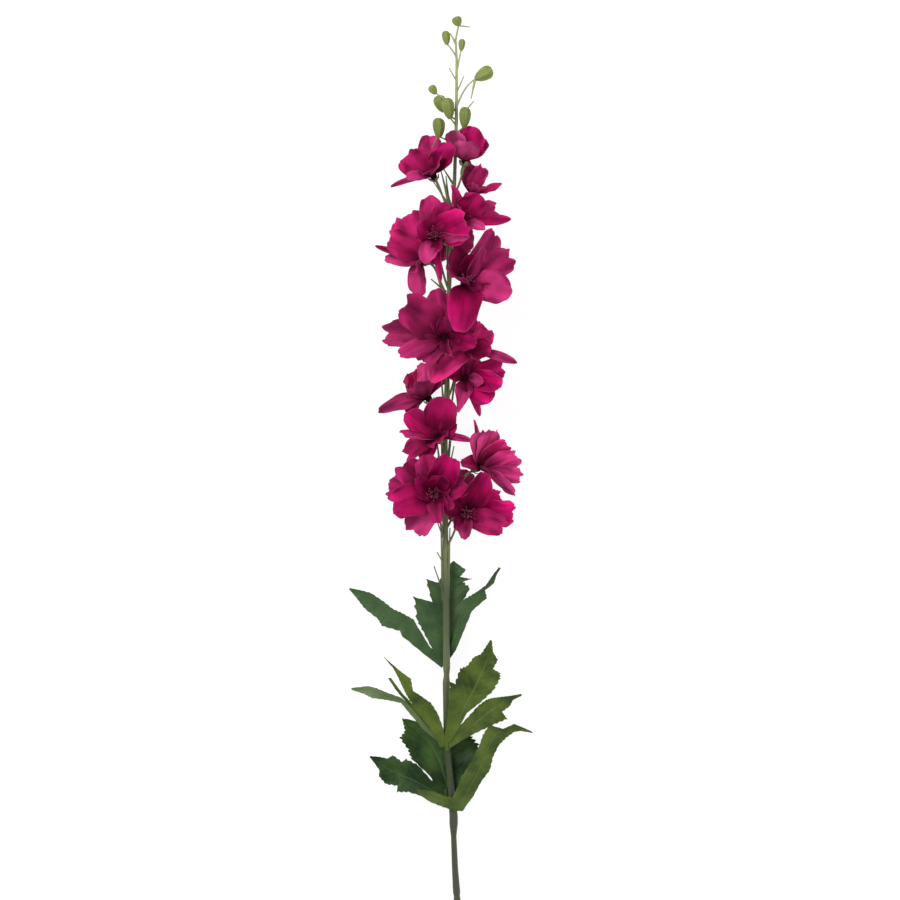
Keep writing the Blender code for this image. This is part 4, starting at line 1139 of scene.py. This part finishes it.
def make_stem():
    """The stem with its stalks and cups, and its buds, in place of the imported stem."""
    shape = Shape()
    rows = np.arange(STEM_COURSE[0][1], STEM_COURSE[-1][1], -STEM_STEP).tolist() + [STEM_COURSE[-1][1]]
    stations = sorted(set(rows) | {float(y) for x, y, r in STEM_COURSE}, reverse=True)
    rings = [stem_at(y) for y in stations]
    shape.tube([p for p, r in rings], [r for p, r in rings], 28, slot=0, ribs=7, rib_depth=0.035)
    luck = random.Random(7)
    for bloom in BLOOMS:
        add_stalk(shape, bloom, luck)
    for spec in SPRIGS + HUGGING:
        add_sprig(shape, *spec)
    stem = shape.make("stem_fine", [STEM, CALYX])
    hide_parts("stem")
    buds = Shape()
    for bud in BUDS:
        add_bud(buds, bud)
    buds.make("buds", [STEM, BUD])


# Leaves

Lobe = namedtuple("Lobe", "low high arch rows")
Leaf = namedtuple("Leaf", "name lobes knuckle")

LEAF_FOLD = 0.16  # how much a lobe's edges stand over its rib, for each millimetre from it
LEAF_STEPS = 7  # fine rows between two rows of a lobe
LEAF_COLUMNS = 19
KNUCKLE_PROFILE = (0.55, 0.9, 1.0, 1.0, 1.0, 0.9, 0.55)
TOOTH_DEPTH = 0.045  # small teeth, as a share of a lobe's half width
TOOTH_EDGE = 0.8  # share of the half width from which they show
LEAF_WAVE = 0.05
LEAF_QUILT = 0.22
TURNED_LOBES = (("leaf_lower", 2), ("leaf_lower", 3), ("leaf_middle", 2))

# Lobe: heights of its root and its end, how much it arches, and its rows: the pixels of its left edge,
# its rib and its right edge. Knuckle: rows of its foot and head, its angle round the stem, its radius
LEAVES = (
    Leaf("leaf_upper", (
        Lobe(12.8, 9.0, 2.0, (
            ((441, 655), (442, 661), (442, 668)), ((430, 647), (428, 651), (425, 655)),
            ((413, 619), (409, 628), (402, 636)), ((402, 613), (401, 622), (400, 631)),
            ((393, 609), (388, 617), (382, 626)), ((383, 601), (381, 610), (378, 619)),
            ((371, 593), (369, 601), (365, 609)), ((360, 590), (359, 595), (358, 600)),
            ((350, 588), (349, 589), (350, 590)),
        )),
        Lobe(12.8, 17.0, -1.0, (
            ((442, 667), (445, 666), (449, 661)), ((434, 652), (445, 655), (453, 650)),
            ((424, 633), (446, 642), (459, 633)), ((417, 620), (446, 630), (462, 617)),
            ((414, 597), (447, 617), (462, 603)), ((432, 602), (448, 606), (470, 588)),
            ((426, 579), (449, 594), (462, 581)), ((438, 583), (450, 584), (471, 579)),
            ((444, 573), (451, 577), (460, 577)), ((448, 566), (452, 571), (466, 570)),
            ((453, 561), (454, 561), (455, 562)),
        )),
        Lobe(12.8, 34.0, 2.0, (
            ((446, 664), (448, 662), (449, 660)), ((451, 645), (453, 648), (456, 650)),
            ((456, 628), (459, 632), (463, 633)), ((461, 601), (466, 610), (472, 611)),
            ((470, 596), (475, 602), (487, 598)), ((478, 591), (481, 593), (485, 590)),
            ((486, 585), (489, 587), (494, 583)), ((492, 576), (494, 577), (497, 574)),
            ((499, 567), (500, 568), (501, 568)),
        )),
    ), (669, 661, -90, 2.0)),
    Leaf("leaf_middle", (
        Lobe(18.5, 33.0, 4.0, (
            ((443, 746), (445, 745), (448, 745)), ((446, 728), (451, 733), (456, 733)),
            ((449, 700), (460, 717), (467, 713)), ((450, 682), (468, 700), (481, 702)),
            ((455, 684), (473, 691), (493, 691)), ((460, 669), (477, 683), (500, 679)),
            ((467, 666), (480, 675), (500, 673)), ((474, 657), (484, 668), (493, 669)),
            ((481, 654), (487, 659), (498, 660)), ((487, 645), (490, 650), (493, 652)),
            ((490, 640), (491, 640), (492, 641)),
        )),
        Lobe(17.9, 21.0, 4.0, (
            ((443, 745), (445, 748), (446, 751)), ((455, 731), (459, 736), (464, 739)),
            ((467, 718), (472, 725), (480, 731)), ((478, 706), (484, 715), (495, 724)),
            ((486, 700), (492, 709), (507, 719)), ((492, 698), (497, 706), (502, 712)),
            ((500, 697), (503, 701), (510, 706)), ((509, 696), (511, 698), (513, 700)),
            ((521, 694), (522, 695), (521, 696)),
        )),
        Lobe(17.9, 9.0, 2.0, (
            ((445, 742), (445, 745), (445, 748)), ((427, 723), (426, 727), (424, 730)),
            ((413, 709), (412, 712), (410, 714)), ((402, 698), (402, 701), (401, 703)),
            ((388, 693), (388, 697), (387, 700)), ((376, 688), (374, 693), (372, 698)),
            ((368, 686), (366, 690), (364, 694)), ((352, 688), (351, 689), (352, 690)),
        )),
        Lobe(18.5, 27.0, 3.0, (
            ((440, 747), (444, 747), (446, 743)), ((429, 727), (435, 728), (443, 728)),
            ((419, 713), (428, 714), (438, 714)), ((410, 701), (421, 704), (431, 703)),
            ((406, 694), (415, 697), (421, 696)), ((402, 686), (409, 689), (413, 691)),
            ((398, 677), (404, 681), (411, 679)), ((393, 668), (396, 670), (399, 670)),
            ((384, 657), (385, 658), (386, 659)),
        )),
        Lobe(18.3, 17.0, 1.0, (
            ((441, 744), (443, 746), (445, 748)), ((422, 720), (424, 723), (427, 725)),
            ((407, 703), (411, 706), (416, 708)), ((396, 690), (399, 692), (402, 693)),
            ((388, 678), (389, 678), (391, 678)),
        )),
    ), (750, 741, 90, 1.9)),
    Leaf("leaf_lower", (
        Lobe(7.2, -8.0, 0.0, (
            ((446, 792), (446, 796), (445, 800)), ((431, 780), (429, 788), (425, 797)),
            ((418, 765), (413, 780), (408, 792)), ((406, 759), (402, 775), (397, 792)),
            ((402, 762), (396, 772), (398, 786)), ((393, 755), (389, 769), (386, 784)),
            ((388, 758), (384, 765), (379, 776)), ((379, 756), (378, 761), (380, 770)),
            ((370, 755), (370, 756), (371, 757)),
        )),
        Lobe(4.6, 4.0, -1.0, (
            ((440, 794), (448, 795), (457, 793)), ((430, 776), (446, 783), (466, 781)),
            ((411, 758), (442, 770), (476, 762)), ((408, 749), (438, 758), (479, 746)),
            ((400, 738), (431, 746), (472, 737)), ((405, 731), (424, 738), (452, 733)),
            ((403, 722), (412, 729), (430, 726)), ((402, 718), (404, 719), (408, 719)),
        )),
        Lobe(15.2, 34.0, -2.0, (
            ((450, 803), (457, 806), (462, 811)), ((456, 790), (464, 797), (473, 797)),
            ((462, 776), (471, 785), (481, 782)), ((471, 762), (478, 772), (490, 770)),
            ((479, 746), (484, 757), (493, 757)), ((483, 735), (489, 746), (499, 745)),
            ((489, 725), (496, 733), (506, 738)), ((503, 729), (508, 731), (514, 732)),
            ((514, 724), (518, 727), (520, 731)), ((531, 731), (532, 732), (533, 733)),
        )),
        Lobe(5.4, 14.0, 4.4, (
            ((417, 789), (416, 791), (417, 793)), ((432, 791), (431, 796), (430, 802)),
            ((444, 796), (444, 801), (443, 807)), ((456, 798), (456, 805), (455, 811)),
            ((470, 797), (468, 803), (463, 811)),
        )),
    ), (799, 789, 212, 2.3)),
)


def smooth(points, count):
    """Points of a smooth curve through points, with count steps between each two."""
    points = [np.array(point, float) for point in points]
    points = [2 * points[0] - points[1]] + points + [2 * points[-1] - points[-2]]
    curve = []
    for a, b, c, d in zip(points, points[1:], points[2:], points[3:]):
        for step in range(count):
            t = step / count
            curve.append(0.5 * (2 * b + (c - a) * t + (2 * a - 5 * b + 4 * c - d) * t * t
                                + (3 * b - a - 3 * c + d) * t**3))
    curve.append(points[-2])
    return curve


def straight(points, count):
    """Points of a bent line through points, with count steps between each two."""
    points = [np.array(point, float) for point in points]
    line = [a + (b - a) * (step / count) for a, b in zip(points, points[1:]) for step in range(count)]
    line.append(points[-1])
    return line


def add_lobe(shape, lobe, number, turned, luck):
    """A leaf lobe: folded up along its rib, waved, with small teeth between its large ones. A turned
    lobe shows its lighter back."""
    lefts = straight([row[0] for row in lobe.rows], LEAF_STEPS)
    ribs = smooth([row[1] for row in lobe.rows], LEAF_STEPS)
    rights = straight([row[2] for row in lobe.rows], LEAF_STEPS)
    last = len(lefts) - 1
    us, vs = grid_shares(LEAF_COLUMNS, last + 1)
    grid = np.zeros((last + 1, LEAF_COLUMNS, 3))
    phase = luck.uniform(0.0, 6.0)
    for i, (left, rib, right) in enumerate(zip(lefts, ribs, rights)):
        share = i / last
        height = lobe.low + (lobe.high - lobe.low) * share + lobe.arch * 4.0 * share * (1.0 - share)
        middle = place(*rib, height)
        tooth = 1.0 + TOOTH_DEPTH * math.sin(i * 2.1 + phase) * min(1.0, 4.0 * share)
        for j, u in enumerate(us):
            edge = left if u < 0 else right
            x, y = rib + (edge - rib) * abs(u) * (tooth if abs(u) > TOOTH_EDGE else 1.0)
            apart = (place(x, y, height) - middle).length
            wave = LEAF_WAVE * apart * math.sin(i * 0.55 + phase + 2.0 * u)
            quilt = LEAF_QUILT * math.sin(i * 1.5 - abs(u) * 4.0) * math.sin(math.pi * min(1.0, abs(u)))
            grid[i, j] = place(x, y, height + LEAF_FOLD * apart + wave + quilt)
    over = grid[:, -1] - grid[:, 0]
    down = np.gradient(grid[:, LEAF_COLUMNS // 2], axis=0)
    faces_up = np.cross(over, down)[:, 2].sum() > 0.0
    slots = (0, 1) if faces_up != turned else (1, 0)
    shape.blade(grid, us, vs, LEAF_THICK, number, *slots)


def make_leaf(leaf):
    """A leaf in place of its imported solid."""
    luck = random.Random(leaf.name)
    shape = Shape()
    for number, lobe in enumerate(leaf.lobes):
        add_lobe(shape, lobe, number, (leaf.name, number) in TURNED_LOBES, luck)
    foot, head, turn, radius = leaf.knuckle
    out = Vector((math.cos(math.radians(turn)), 0.0, math.sin(math.radians(turn))))
    points = []
    for row in np.linspace(foot, head, len(KNUCKLE_PROFILE)):
        middle, beside = stem_at(row)
        points.append(middle + out * (beside + radius + GAP))
    radii = [radius * wide for wide in KNUCKLE_PROFILE]
    shape.tube(points, radii, 16, slot=0)
    piece = shape.make(leaf.name + "_fine", LEAF_LOOKS[leaf.name])
    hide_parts(leaf.name)


make_stem()
for leaf in LEAVES:
    make_leaf(leaf)
for bloom in BLOOMS:
    make_bloom(bloom)

# Floor, light and camera

FLOOR_SIZE = 8.0
FLOOR = speckled_look("floor", 0.9, 0.5, 3.0, (0.2, 0.2, 0.2, 1.0), (0.22, 0.22, 0.22, 1.0))
FLOOR.feed(FLOOR.shader, "Emission Color", WHITE)
FLOOR.feed(FLOOR.shader, "Emission Strength", 0.88)
floor_mesh = bpy.data.meshes.new("floor")
reach = FLOOR_SIZE / 2
floor_mesh.from_pydata([(-reach, -reach, 0), (reach, -reach, 0), (reach, reach, 0), (-reach, reach, 0)], [],
                       [(0, 1, 2, 3)])
floor_mesh.materials.append(FLOOR.material)
floor = link("floor", floor_mesh)


def area_light(name, place_m, size, power):
    """A soft square light that shines at the spike's middle."""
    data = bpy.data.lights.new(name, "AREA")
    data.shape = "SQUARE"
    data.size = size
    data.energy = power
    light = link(name, data)
    light.location = place_m
    light.rotation_euler = (-Vector(place_m)).to_track_quat("-Z", "Y").to_euler()


area_light("key", (-1.1, 1.0, 1.9), 0.9, 30.0)
area_light("fill", (1.6, -0.3, 1.8), 1.8, 8.0)
world = bpy.data.worlds.new("studio")
world.use_nodes = True
background = world.node_tree.nodes["Background"]
background.inputs["Color"].default_value = WHITE
background.inputs["Strength"].default_value = 0.55
bpy.context.scene.world = world

SENSOR = 36.0
camera_data = bpy.data.cameras.new("camera")
camera_data.sensor_width = SENSOR
camera_data.lens = SENSOR * VIEW_DISTANCE / (FRAME_PIXELS * PIXEL)
camera_data.clip_end = 50.0
camera = link("camera", camera_data)
camera.location = (-ORIGIN.x * METRE, -ORIGIN.y * METRE, (VIEW_PLANE + VIEW_DISTANCE) * METRE)
bpy.context.scene.camera = camera
bpy.context.scene.view_settings.view_transform = "Standard"
